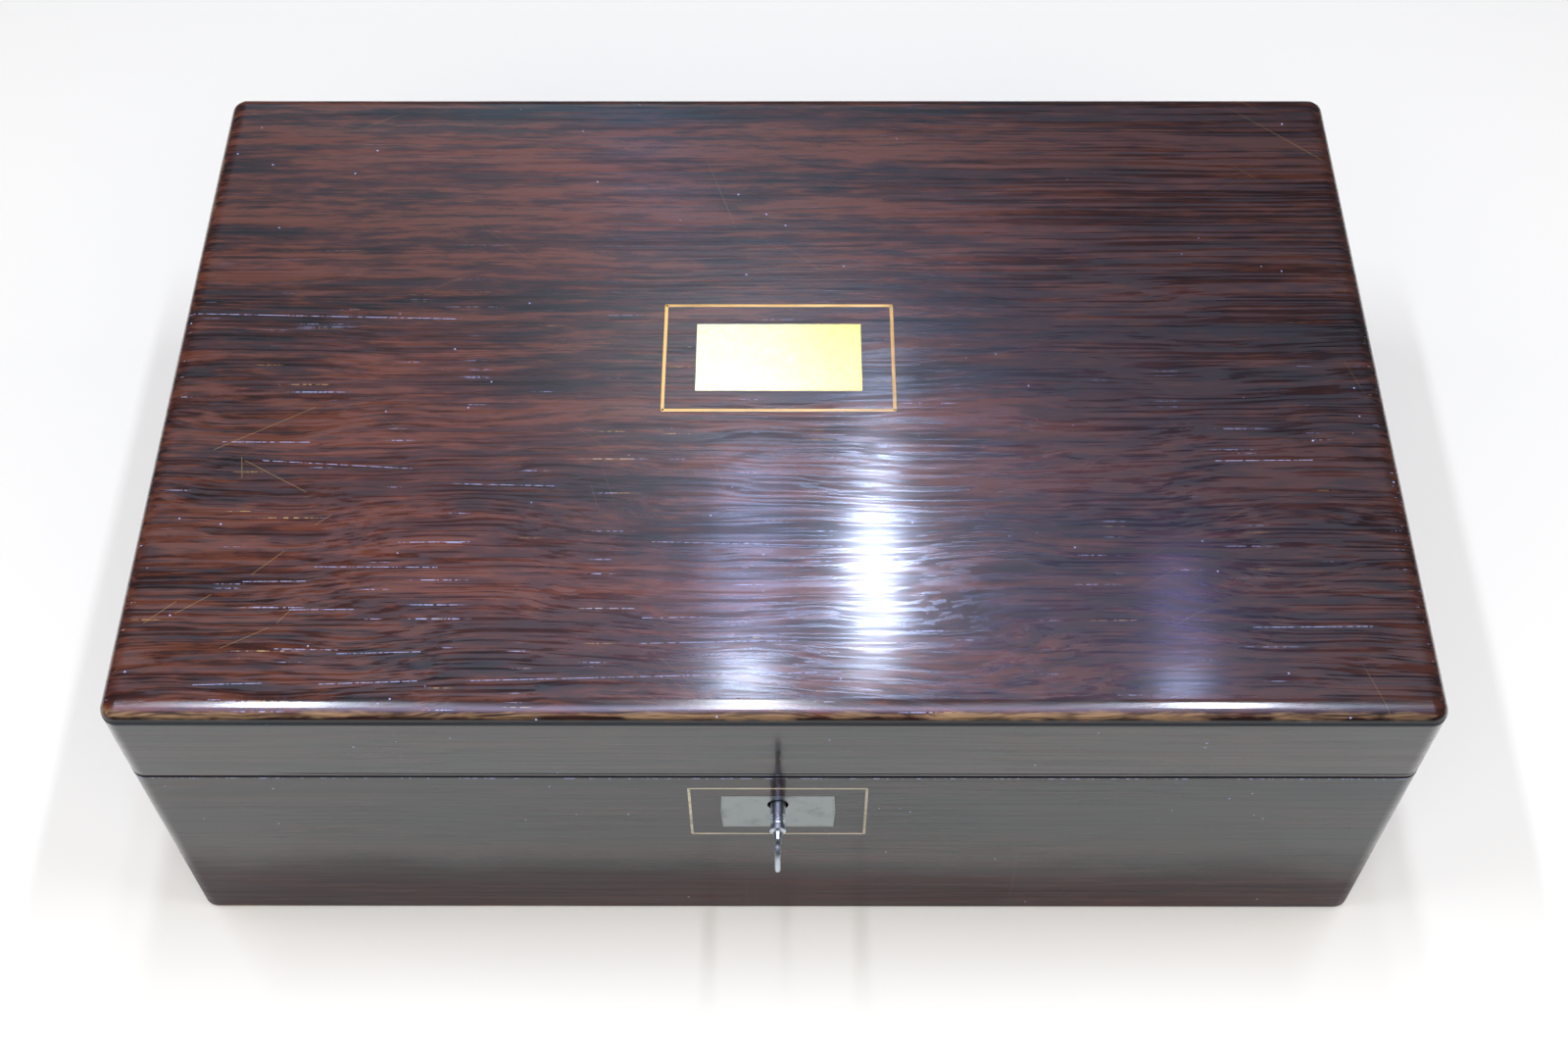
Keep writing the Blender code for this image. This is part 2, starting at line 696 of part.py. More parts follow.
def ledgers(base, lid):
    # Strips on the side walls, and along the lid's front, that the flaps lie on
    upper = FLAP_TOP + FLAP_THICK + GAP
    lower = upper + LEDGER_HIGH
    base_run = (
        FLAP_HINGE_FALL + inward_at(FLAP_AXIS_Y, -upper),
        inward_at(LONG_DIVIDER_Y + DIVIDER + GAP, -lower),
    )
    lid_run = (
        FLAP_HINGE_FALL + inward_at(FLAP_AXIS_Y, lower),
        inward_at(-INNER_Y + LEDGER_WIDE + 2 * GAP, upper) - GAP,
    )
    for side, label in ((-1, "left"), (1, "right")):
        xs = sorted((side * (INNER_X - GAP), side * (INNER_X - GAP - LEDGER_WIDE)))
        low = add_plane_box("base_ledger_" + label, xs, base_run, (-lower, -upper))
        high = add_plane_box("lid_ledger_" + label, xs, lid_run, (upper, lower))
        attach(low, base, "mahogany")
        attach(high, lid, "mahogany")
    front_end = inward_at(-INNER_Y, upper) - GAP
    front_run = (front_end - LEDGER_WIDE, front_end)
    x_range = (-INNER_X + GAP, INNER_X - GAP)
    attach(add_plane_box("lid_ledger_front", x_range, front_run, (upper, lower)), lid, "mahogany")


def compartments(base):
    floor_z = BOTTOM_BOARD + GAP
    inner_x, inner_y = INNER_X - GAP, INNER_Y - GAP
    under_flap = -(FLAP_TOP + FLAP_THICK + GAP) / math.cos(SLOPE)
    run = (LONG_DIVIDER_Y, LONG_DIVIDER_Y + DIVIDER)
    heights = (floor_z, BOX_HEIGHT)
    long_one = add_wall("divider_long", (-inner_x, inner_x), run, heights, True, under_flap)
    attach(long_one, base, "mahogany")
    run = (-inner_y, LONG_DIVIDER_Y - GAP)
    drop = -DIVIDER_DROP
    for side, label in ((-1, "left"), (1, "right")):
        xs = sorted((side * CROSS_DIVIDER_X, side * (CROSS_DIVIDER_X - DIVIDER)))
        attach(add_wall("divider_" + label, xs, run, heights, True, drop), base, "mahogany")
        xs = sorted((side * inner_x, side * (CROSS_DIVIDER_X + GAP)))
        low = (xs[0], run[0], INK_FLOOR_Z - INK_FLOOR_THICK)
        attach(add_box("ink_floor_" + label, low, (xs[1], run[1], INK_FLOOR_Z)), base, "mahogany")
    pen_tray(base, run)


def pen_tray(base, run):
    # A block with a cove scooped along it; the cove's ends are stopped
    half = CROSS_DIVIDER_X - DIVIDER - GAP
    tray = add_box("pen_tray", (-half, run[0], TRAY_TOP_Z - TRAY_THICK), (half, run[1], TRAY_TOP_Z))
    middle = (run[0] + run[1]) / 2
    centre_z = TRAY_TOP_Z - TRAY_THICK + COVE_WALL + COVE_RADIUS
    scoop = add_rod(
        "pen_tray_cove",
        COVE_RADIUS,
        (-half + COVE_END, middle, centre_z),
        (half - COVE_END, middle, centre_z),
        CUTTERS,
    )
    cut(tray, scoop)
    attach(tray, base, "mahogany")


def inkwells(base, cap_groups):
    middle_x = (INNER_X + CROSS_DIVIDER_X) / 2
    middle_y = (LONG_DIVIDER_Y - INNER_Y) / 2
    foot = INK_FLOOR_Z + GAP
    half = INKWELL_SIDE / 2
    shoulder = foot + INKWELL_BODY_HIGH
    for side, label in ((-1, "left"), (1, "right")):
        centre = Vector((side * middle_x, middle_y, 0))
        name = "inkwell_" + label
        low = centre + Vector((-half, -half, foot))
        glass = add_box(name, low, centre + Vector((half, half, shoulder)))
        round_edges(glass, 2, lambda point: True, INKWELL_CORNER, 3)
        round_edges(glass, None, lambda point: point.z > shoulder - TOUCH, INKWELL_SHOULDER, 2)
        top = centre + AXIS_Z * (shoulder + NECK_HIGH)
        fuse(glass, add_rod(name + "_neck", NECK_RADIUS, centre + AXIS_Z * (shoulder - OVERRUN), top, CUTTERS))
        depth = INKWELL_BODY_HIGH - INKWELL_BASE
        bore = [
            (0, -depth),
            (INKWELL_BORE - INKWELL_SHOULDER, -depth),
            (INKWELL_BORE, INKWELL_SHOULDER - depth),
            (INKWELL_BORE, -2 * INKWELL_SHOULDER),
            (NECK_BORE, -INKWELL_SHOULDER / 2),
            (NECK_BORE, NECK_HIGH + OVERRUN),
            (0, NECK_HIGH + OVERRUN),
        ]
        cut(glass, add_turned(name + "_bore", bore, centre + AXIS_Z * shoulder, "Z", CUTTERS))
        attach(glass, base, "glass")
        inside = NECK_HIGH + GAP
        cap = [
            (0, inside),
            (NECK_RADIUS + GAP, inside),
            (NECK_RADIUS + GAP, GAP),
            (CAP_RADIUS - CAP_WALL, GAP),
            (CAP_RADIUS, CAP_WALL),
            (CAP_RADIUS, CAP_SKIRT),
            (CAP_RADIUS - CAP_WALL, CAP_SKIRT + CAP_WALL),
            (CAP_RADIUS - 3 * CAP_WALL, CAP_SKIRT + CAP_WALL),
        ]
        dome = CAP_RADIUS - 4 * CAP_WALL
        rise = CAP_DOME - CAP_WALL
        for point in arc((0, 0), 1, 0, math.pi / 2, ROUND_STEPS)[:-1]:
            cap.append((dome * point[0], CAP_SKIRT + CAP_WALL + rise * point[1]))
        cap.append((0, CAP_SKIRT + CAP_DOME))
        turned = add_turned(name + "_cap", cap, centre + AXIS_Z * shoulder, "Z")
        attach(turned, cap_groups[label], "brass")


def lock(base, lid, bolt_group, front_wall, lid_front):
    near, far = -INNER_Y - LOCK_DEEP, -INNER_Y
    top_lift = -HALF_GAP / math.cos(SLOPE)
    outline = [
        (near, LOCK_BOTTOM_Z),
        (far, LOCK_BOTTOM_Z),
        (far, plane_z(far) + top_lift),
        (near, plane_z(near) + top_lift),
    ]
    place = (FITTINGS_X, 0, 0)
    case = add_outline("lock_case", [outline], LOCK_WIDE, place, AXIS_Y, AXIS_Z)
    half = LOCK_WIDE / 2
    ceiling = plane_z(far) + top_lift - LOCK_TOP_PLATE
    hollow = add_box(
        "lock_hollow",
        (FITTINGS_X - half + LOCK_RIM, near - OVERRUN, LOCK_BOTTOM_Z + LOCK_RIM),
        (FITTINGS_X + half - LOCK_RIM, far - LOCK_PLATE, ceiling),
        CUTTERS,
    )
    cut(case, hollow)
    mortise = add_box(
        "lock_mortise",
        (FITTINGS_X - half - GAP, near - GAP, LOCK_BOTTOM_Z - GAP),
        (FITTINGS_X + half + GAP, far + OVERRUN, BOX_HEIGHT),
        CUTTERS,
    )
    cut(front_wall, mortise)
    pin_end = far - LOCK_PLATE - DRILL_PIN_LONG
    pin = add_rod(
        "drill_pin",
        DRILL_PIN,
        (FITTINGS_X, far - LOCK_PLATE / 2, KEY_Z),
        (FITTINGS_X, pin_end, KEY_Z),
        CUTTERS,
    )
    fuse(case, pin)
    hooks(case, lid, lid_front)
    attach(case, base, "brass")
    lock_bolt(bolt_group, near)


def hook_places():
    return [FITTINGS_X - HOOK_X, FITTINGS_X + HOOK_X]


def hooks(case, lid, lid_front):
    # The link plate in the lid's edge with two hooks, and their slots in the lock's top plate
    middle = inward_at(-INNER_Y - HOOK_Y + HOOK_THICK, 0)
    half_deep = LINK_PLATE_DEEP / 2
    plate_middle = inward_at(-INNER_Y - LINK_PLATE_DEEP / 2, 0) - GAP
    half_long = LINK_PLATE_LONG / 2
    ups = (HALF_GAP, HALF_GAP + LINK_PLATE_THICK)
    plate = add_plane_box(
        "lock_hooks",
        (FITTINGS_X - half_long, FITTINGS_X + half_long),
        (plate_middle - half_deep, plate_middle + half_deep),
        ups,
    )
    bed = add_plane_box(
        "lock_hooks_bed",
        (FITTINGS_X - half_long - GAP, FITTINGS_X + half_long + GAP),
        (plate_middle - half_deep - OVERRUN, plate_middle + half_deep + GAP),
        (-OVERRUN, ups[1] + GAP),
        CUTTERS,
    )
    cut(lid_front, bed)
    outline = [
        (-HOOK_FOOT, -HOOK_LONG),
        (HOOK_STEM, -HOOK_LONG),
        (HOOK_STEM, ups[1] - GAP),
        (0, ups[1] - GAP),
        (0, HOOK_FOOT_HIGH - HOOK_LONG),
        (-HOOK_FOOT, HOOK_FOOT_HIGH - HOOK_LONG),
    ]
    for number, x in enumerate(hook_places()):
        name = "lock_hook_" + str(number)
        place = plane_point(middle, 0, x)
        fuse(plate, add_outline(name, [outline], HOOK_THICK, place, AXIS_X, OUTWARD_UP, CUTTERS))
        slot = add_plane_box(
            name + "_slot",
            (x - HOOK_FOOT - GAP, x + HOOK_STEM + GAP),
            (middle - HOOK_THICK / 2 - 2 * GAP, middle + HOOK_THICK / 2 + 2 * GAP),
            (-HALF_GAP - 2 * LOCK_TOP_PLATE - OVERRUN / 2, OVERRUN),
            CUTTERS,
        )
        cut(case, slot)
    attach(plate, lid, "brass")


def lock_bolt(group, near):
    # The sliding bolt: a bar with two tongues over the hooks' feet and a talon for the key
    foot_top = plane_point(inward_at(-INNER_Y - HOOK_Y, -HOOK_LONG), HOOK_FOOT_HIGH - HOOK_LONG).z
    tongue_low = foot_top + 2 * GAP
    tongue_high = tongue_low + BOLT_TONGUE_HIGH
    bar_high = foot_top - HOOK_FOOT_HIGH - 2 * GAP
    bar_low = bar_high - BOLT_BAR_HIGH
    outline = [(-BOLT_HALF_LONG, bar_low), (-TALON_LUG - KEY_BIT_REACH - BOLT_TRAVEL - 2 * GAP, bar_low)]
    left_lug = -KEY_BIT_REACH - BOLT_TRAVEL - 2 * GAP
    right_lug = KEY_BIT_REACH + 2 * GAP
    outline += [
        (left_lug - TALON_LUG, bar_low - TALON_DROP),
        (left_lug, bar_low - TALON_DROP),
        (left_lug, bar_low),
        (right_lug, bar_low),
        (right_lug, bar_low - TALON_DROP),
        (right_lug + TALON_LUG, bar_low - TALON_DROP),
        (right_lug + TALON_LUG, bar_low),
        (BOLT_HALF_LONG, bar_low),
        (BOLT_HALF_LONG, bar_high),
    ]
    for x in (HOOK_X, -HOOK_X):
        tip = x - HOOK_FOOT - GAP
        post = x - HOOK_FOOT - GAP - BOLT_TRAVEL
        outline += [
            (post, bar_high),
            (post, tongue_low),
            (tip, tongue_low),
            (tip, tongue_high),
            (post - BOLT_POST, tongue_high),
            (post - BOLT_POST, bar_high),
        ]
    outline.append((-BOLT_HALF_LONG, bar_high))
    place = (FITTINGS_X, near + BOLT_THICK / 2, 0)
    bolt = add_outline("lock_bolt", [outline], BOLT_THICK, place, AXIS_X, AXIS_Z)
    attach(bolt, group, "steel")


def key(group):
    # Turned barrel with ring grooves and a collar, an oval bow in the upright plane, and the bit
    tip = WALL - LOCK_PLATE - GAP
    profile = [
        (0, tip - KEY_BORE_DEEP),
        (KEY_BORE, tip - KEY_BORE_DEEP),
        (KEY_BORE, tip),
        (KEY_BARREL, tip),
    ]
    for number in range(KEY_GROOVES):
        out = -KEY_PLAIN_OUT - number * KEY_GROOVE_PITCH
        profile += [
            (KEY_BARREL, out),
            (KEY_BARREL - KEY_GROOVE, out - KEY_GROOVE),
            (KEY_BARREL, out - 2 * KEY_GROOVE),
        ]
    collar_end = -KEY_COLLAR_OUT - KEY_COLLAR_LONG
    profile += [
        (KEY_BARREL - KEY_GROOVE, -KEY_COLLAR_OUT + KEY_GROOVE / 2),
        (KEY_BARREL + KEY_COLLAR_SWELL, -KEY_COLLAR_OUT - KEY_GROOVE),
        (KEY_BARREL + KEY_COLLAR_SWELL, collar_end + KEY_GROOVE),
        (KEY_BARREL - KEY_GROOVE, collar_end),
        (KEY_NECK, collar_end - KEY_GROOVE),
    ]
    ring_near = -KEY_BOW_OUT + KEY_BOW_HALF_LONG
    profile += [(KEY_NECK_END, ring_near), (KEY_NECK_END, ring_near - KEY_BOW_BAR / 2)]
    profile.append((0, ring_near - KEY_BOW_BAR / 2))
    place = Vector((FITTINGS_X, -HALF_DEPTH, KEY_Z))
    item = add_turned("key", profile, place, "Y")
    fuse(item, key_bow(place))
    bit_near = tip - 2 * GAP - KEY_BIT_LONG
    low = place + Vector((-KEY_BIT_THICK / 2, bit_near, -KEY_BIT_REACH))
    high = place + Vector((KEY_BIT_THICK / 2, bit_near + KEY_BIT_LONG, -(KEY_BARREL + KEY_BORE) / 2))
    fuse(item, add_box("key_bit", low, high, CUTTERS))
    notch_middle = bit_near + KEY_BIT_LONG / 2
    notch_low = place + Vector((-KEY_BIT_THICK, notch_middle - KEY_BIT_NOTCH / 2, -KEY_BIT_REACH - OVERRUN))
    notch_high = place + Vector((KEY_BIT_THICK, notch_middle + KEY_BIT_NOTCH / 2, KEY_BIT_NOTCH - KEY_BIT_REACH))
    cut(item, add_box("key_ward_notch", notch_low, notch_high, CUTTERS))
    return attach(item, group, "steel")


def key_bow(place):
    curve = bpy.data.curves.new("key_bow", "CURVE")
    curve.dimensions = "3D"
    curve.bevel_depth = KEY_BOW_BAR
    curve.bevel_resolution = 2
    spline = curve.splines.new("POLY")
    points = arc((0, 0), 1, 0, math.pi * 2, TURN_STEPS)[:-1]
    spline.points.add(len(points) - 1)
    spline.use_cyclic_u = True
    for point, unit in zip(spline.points, points):
        along = -KEY_BOW_OUT + (KEY_BOW_HALF_LONG - KEY_BOW_BAR) * unit[0]
        across = (KEY_BOW_HALF_WIDE - KEY_BOW_BAR) * unit[1]
        point.co = (0, along, across, 1)
    return curve_to_mesh("key_bow", curve, place, Matrix.Identity(3), CUTTERS)


def build():
    base = add_group("base", (0, 0, 0))
    lid = add_group("lid", HINGE_AXIS)
    base_flap = add_group("base_flap", flap_axis(-1))
    lid_flap = add_group("lid_flap", flap_axis(1), lid)
    bolt_group = add_group("bolt_slide", (FITTINGS_X, -HALF_DEPTH + WALL / 2, KEY_Z))
    key_group = add_group("key_turn", (FITTINGS_X, -HALF_DEPTH, KEY_Z))
    middle_x = (INNER_X + CROSS_DIVIDER_X) / 2
    middle_y = (LONG_DIVIDER_Y - INNER_Y) / 2
    caps = {
        "left": add_group("cap_turn_left", (-middle_x, middle_y, INK_FLOOR_Z)),
        "right": add_group("cap_turn_right", (middle_x, middle_y, INK_FLOOR_Z)),
    }
    front_wall, back_wall = base_walls(base)
    lid_front, lid_back = lid_walls(lid)
    board = lid_board(lid)
    lid_inlay(lid, board)
    front_inlay(base, front_wall)
    main_hinges(base, lid, back_wall, lid_back)
    flap_end = inward_at(LONG_DIVIDER_Y, -FLAP_TOP - FLAP_THICK)
    lid_flap_end = inward_at(-INNER_Y, FLAP_TOP) - FLAP_SIDE_PLAY
    add_flap("base_flap", base_flap, base, -1, flap_end)
    add_flap("lid_flap", lid_flap, lid, 1, lid_flap_end)
    ledgers(base, lid)
    compartments(base)
    inkwells(base, caps)
    lock(base, lid, bolt_group, front_wall, lid_front)
    key(key_group)


build()
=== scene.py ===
# Looks for the rosewood writing slope: polished case, brass, leather flaps, lock and inkwells.
import json
import math
from functools import partial

import bmesh
import bpy
from mathutils import Matrix, Vector

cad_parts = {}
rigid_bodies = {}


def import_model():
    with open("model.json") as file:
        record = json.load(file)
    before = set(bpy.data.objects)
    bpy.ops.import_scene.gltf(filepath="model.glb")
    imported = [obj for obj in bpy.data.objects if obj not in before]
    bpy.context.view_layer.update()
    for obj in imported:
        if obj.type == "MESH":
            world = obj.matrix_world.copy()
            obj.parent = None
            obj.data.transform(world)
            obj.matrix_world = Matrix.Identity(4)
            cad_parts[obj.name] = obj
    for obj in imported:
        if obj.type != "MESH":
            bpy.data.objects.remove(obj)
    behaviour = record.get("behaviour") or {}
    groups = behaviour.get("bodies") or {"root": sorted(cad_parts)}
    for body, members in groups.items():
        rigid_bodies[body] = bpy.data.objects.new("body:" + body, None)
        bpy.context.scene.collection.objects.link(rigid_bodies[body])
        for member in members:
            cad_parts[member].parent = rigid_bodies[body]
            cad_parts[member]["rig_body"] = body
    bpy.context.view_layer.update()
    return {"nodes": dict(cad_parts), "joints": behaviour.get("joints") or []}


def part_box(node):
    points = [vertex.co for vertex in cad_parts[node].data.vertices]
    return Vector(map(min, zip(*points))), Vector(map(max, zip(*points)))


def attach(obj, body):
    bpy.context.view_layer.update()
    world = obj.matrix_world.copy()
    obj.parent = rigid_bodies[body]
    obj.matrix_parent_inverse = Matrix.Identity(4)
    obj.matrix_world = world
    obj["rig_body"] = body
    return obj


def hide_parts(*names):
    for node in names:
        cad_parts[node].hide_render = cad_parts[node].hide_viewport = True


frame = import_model()
nodes = frame["nodes"]
print("Frame in:", len(nodes), "nodes")

axisX, axisY, axisZ = (Vector(row) for row in Matrix.Identity(3))

# Places taken from the frame
topLow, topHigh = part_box("lid_top_board")
sideLow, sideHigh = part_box("base_left_wall")
joints = {joint["name"]: joint for joint in frame["joints"]}
hingePlace = Vector(joints["lid_hinge"]["pos_m"])
keyPlace = Vector(joints["key_turn"]["pos_m"])
halfWidth, boxHeight = topHigh.x, topHigh.z
halfDepth = -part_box("base_front_wall")[0].y
wall = sideHigh.x - sideLow.x
innerX, innerY = halfWidth - wall, halfDepth - wall


def frontHeights(node):
    # Heights of a wall's vertices that lie on the front face
    return [vert.co.z for vert in nodes[node].data.vertices if abs(vert.co.y + halfDepth) < 0.00001]


partingLow, partingHigh = max(frontHeights("base_front_wall")), min(frontHeights("lid_front_wall"))
partingFront = (partingLow + partingHigh) / 2
slope = math.atan2(partingFront - hingePlace.z, hingePlace.y + halfDepth)
inward = Vector((0, -math.cos(slope), math.sin(slope)))
outward = Vector((0, math.sin(slope), math.cos(slope)))


def liftsOf(node):
    # How far a node's vertices are above the plane in which the case parts
    return [(vert.co - hingePlace).dot(outward) for vert in nodes[node].data.vertices]


halfGap = (min(liftsOf("lid_front_wall")) - max(liftsOf("base_front_wall"))) / 2
print("Gap between lid and base, mm:", round(halfGap * 2000, 3))


# Node helpers: nodes go into the tree that was opened last
opened = {}


def newNode(kind):
    return opened["tree"].nodes.new("ShaderNode" + kind)


def joinTo(socket, value):
    if isinstance(value, bpy.types.NodeSocket):
        opened["tree"].links.new(value, socket)
    elif socket.type == "RGBA" and len(value) == 3:
        socket.default_value = (*value, 1)
    else:
        socket.default_value = value


def join(sockets, **values):
    # An underscore in a label stands for a space
    for label, value in values.items():
        joinTo(sockets[label.replace("_", " ")], value)


def calc(operation, *values, clamp=False):
    step = newNode("Math")
    step.operation = operation
    step.use_clamp = clamp
    for socket, value in zip(step.inputs, values):
        joinTo(socket, value)
    return step.outputs[0]


times, timesPlus, larger = (partial(calc, kind) for kind in ("MULTIPLY", "MULTIPLY_ADD", "MAXIMUM"))


def vectorCalc(operation, *values):
    step = newNode("VectorMath")
    step.operation = operation
    for socket, value in zip(step.inputs, values):
        joinTo(socket, value)
    return step.outputs[1 if operation in ("DISTANCE", "DOT_PRODUCT") else 0]


minus, dot = (partial(vectorCalc, kind) for kind in ("SUBTRACT", "DOT_PRODUCT"))


def mapped(place, scale=(1, 1, 1), shift=(0, 0, 0), turn=(0, 0, 0)):
    step = newNode("Mapping")
    join(step.inputs, Vector=place, Location=shift, Rotation=turn, Scale=scale)
    return step.outputs[0]


def noise(place, scale, detail=2.0, roughness=0.5):
    # scale is one number, or three for a grain stretched along an axis
    if isinstance(scale, tuple):
        place, scale = mapped(place, scale), 1.0
    step = newNode("TexNoise")
    join(step.inputs, Vector=place, Scale=scale, Detail=detail, Roughness=roughness)
    return step.outputs[0]


def cells(place, scale, output="Distance"):
    step = newNode("TexVoronoi")
    join(step.inputs, Vector=place, Scale=scale)
    return step.outputs[output]


def fade(value, low, high, toLow=0.0, toHigh=1.0):
    step = newNode("MapRange")
    step.interpolation_type = "SMOOTHSTEP"
    join(step.inputs, Value=value, From_Min=low, From_Max=high, To_Min=toLow, To_Max=toHigh)
    return step.outputs[0]


def mixColour(amount, first, second, mode="MIX"):
    step = newNode("Mix")
    step.data_type = "RGBA"
    step.blend_type = mode
    joinTo(step.inputs[0], amount)
    joinTo(step.inputs[6], first)
    joinTo(step.inputs[7], second)
    return step.outputs[2]


def parts(place):
    step = newNode("SeparateXYZ")
    joinTo(step.inputs[0], place)
    return step.outputs[0], step.outputs[1], step.outputs[2]


def bump(height, distance, strength=1.0):
    step = newNode("Bump")
    join(step.inputs, Height=height, Distance=distance, Strength=strength)
    return step.outputs[0]


def newGroup(name, inputs, outputs):
    # Every group takes a Place; an output is a value unless it is called Colour
    tree = opened["tree"] = bpy.data.node_groups.new(name, "ShaderNodeTree")
    kinds = {"vector": "NodeSocketVector", "colour": "NodeSocketColor", "value": "NodeSocketFloat"}
    for label, kind, start in (("Place", "vector", (0, 0, 0)), *inputs):
        socket = tree.interface.new_socket(name=label, in_out="INPUT", socket_type=kinds[kind])
        socket.default_value = (*start, 1) if kind == "colour" else start
    for label in outputs:
        kind = kinds["colour" if label == "Colour" else "value"]
        tree.interface.new_socket(name=label, in_out="OUTPUT", socket_type=kind)
    taken, given = tree.nodes.new("NodeGroupInput"), tree.nodes.new("NodeGroupOutput")
    return tree, taken.outputs, given.inputs


def useGroup(group, **values):
    step = newNode("Group")
    step.node_tree = group
    join(step.inputs, **values)
    return step.outputs


def newMaterial(name, **fixed):
    # fixed gives the shader's own constants
    material = bpy.data.materials.new(name)
    material.use_nodes = True
    opened["tree"] = material.node_tree
    sockets = material.node_tree.nodes["Principled BSDF"].inputs
    join(sockets, **fixed)
    return material, sockets, newNode("TexCoord").outputs["Object"]


# Shared effects
boxInputs = (("Centre", "vector", (0, 0, 0)), ("Half", "vector", (1, 1, 1)))


def edgeDistanceGroup():
    # How far a point of a box's surface is from the nearest edge of that box
    group, taken, given = newGroup("Edge distance", boxInputs, ["Distance"])
    offset = minus(taken["Place"], taken["Centre"])
    inside = minus(taken["Half"], vectorCalc("ABSOLUTE", offset))
    across, deep, high = parts(inside)
    nearer = calc("MINIMUM", across, deep)
    farther = calc("MINIMUM", larger(across, deep), high)
    join(given, Distance=larger(nearer, farther))
    return group


def woodFigureGroup():
    # Grain along X: broad bands, streaks, hair-fine lines and short dark pores
    group, taken, given = newGroup(
        "Wood figure",
        [
            ("Swirl", "value", 0.006),
            ("Dark", "colour", (0.010, 0.005, 0.005)),
            ("Middle", "colour", (0.06, 0.016, 0.011)),
            ("Bright", "colour", (0.15, 0.036, 0.02)),
            ("Pores", "value", 1.0),
        ],
        ["Colour", "Height", "Rows", "Hairs"],
    )
    wander = calc("SUBTRACT", noise(taken["Place"], (9, 24, 24), 2.0, 0.5), 0.5)
    shift = times(wander, taken["Swirl"])
    combine = newNode("CombineXYZ")
    join(combine.inputs, Y=shift, Z=shift)
    place = vectorCalc("ADD", taken["Place"], combine.outputs[0])
    bands = noise(place, (3.5, 48, 48), 3.0, 0.55)
    streaks = noise(place, (20, 300, 300), 4.0, 0.58)
    hairs = noise(place, (60, 1300, 1300), 2.0, 0.6)
    gaps = fade(noise(place, (34, 480, 480), 3.0, 0.62), 0.55, 0.66)
    flecks = noise(place, (85, 420, 420), 3.0, 0.6)
    shade = times(streaks, 0.32)
    for layer, share in ((bands, 0.34), (flecks, 0.22), (hairs, 0.12)):
        shade = timesPlus(layer, share, shade)
    level = fade(shade, 0.405, 0.585)
    colour = mixColour(fade(level, 0.0, 0.5), taken["Dark"], taken["Middle"])
    colour = mixColour(fade(level, 0.5, 1.0), colour, taken["Bright"])
    holes = times(gaps, taken["Pores"])
    colour = mixColour(times(holes, 0.7), colour, taken["Dark"])
    join(
        given,
        Colour=colour,
        Height=timesPlus(holes, -0.7, hairs),
        Rows=noise(place, (9, 1000, 1000), 2.0, 0.5),
        Hairs=hairs,
    )
    return group


def wearGroup():
    # Rubbed edges, fine slanting scratches, specks of dust and the soft ripple of hand polish
    levels = {"Edge": 1.0, "Reach": 0.003, "Least": 0.15, "Amount": 1.0}
    inputs = [(label, "value", level) for label, level in levels.items()]
    outputs = ["Rubbed", "Scratches", "Dust", "Ripple", "Smudge"]
    group, taken, given = newGroup("Handling wear", inputs, outputs)
    place = taken["Place"]
    ragged = noise(place, (55, 160, 160), 3.0, 0.65)
    reach = times(taken["Reach"], fade(ragged, 0.30, 0.72, taken["Least"], 1.25))
    rubbed = fade(calc("DIVIDE", taken["Edge"], reach), 1.0, 0.45)
    join(given, Rubbed=times(rubbed, taken["Amount"], clamp=True))
    lines = 0.0
    for turn, seed in ((0.72, 0.0), (1.25, 3.7), (-0.5, 8.1)):
        slanted = mapped(place, (1, 1, 1), (seed, seed, 0), (0, 0, turn))
        line = fade(noise(slanted, (9, 1500, 9), 1.0, 0.4), 0.735, 0.80)
        patch = fade(noise(slanted, (16, 22, 16), 1.0, 0.5), 0.54, 0.68)
        lines = timesPlus(line, patch, lines)
    join(given, Scratches=times(lines, 1.0, clamp=True))
    speck = fade(cells(place, 300), 0.13, 0.06)
    chosen = cells(place, 300, output="Color")
    keep = fade(parts(chosen)[0], 0.955, 0.96)
    join(
        given,
        Dust=times(speck, keep),
        Ripple=noise(place, (38, 52, 52), 2.0, 0.5),
        Smudge=noise(place, (11, 19, 19), 3.0, 0.6),
    )
    return group


def metalGroup():
    # Drawn metal: brush lines along X, tarnish in patches and darker near the edges, fine scuffs
    inputs = (("Edge", "value", 1.0), ("Tarnish", "value", 0.5))
    group, taken, given = newGroup("Metal skin", inputs, ["Tarnish", "Brush", "Scuff"])
    place = taken["Place"]
    patches = fade(noise(place, 130, 4.0, 0.62), 0.46, 0.74)
    rim = fade(taken["Edge"], 0.0012, 0.0)
    tarnish = timesPlus(rim, 0.6, times(patches, 0.8))
    join(
        given,
        Tarnish=times(tarnish, taken["Tarnish"], clamp=True),
        Brush=noise(place, (130, 4200, 4200), 2.0, 0.6),
    )
    scuff = 0.0
    for turn in (0.5, -0.9, 1.9):
        slanted = mapped(place, turn=(0, 0, turn))
        line = fade(noise(slanted, (60, 2600, 60), 1.0, 0.4), 0.70, 0.76)
        scuff = larger(line, scuff)
    join(given, Scuff=scuff)
    return group


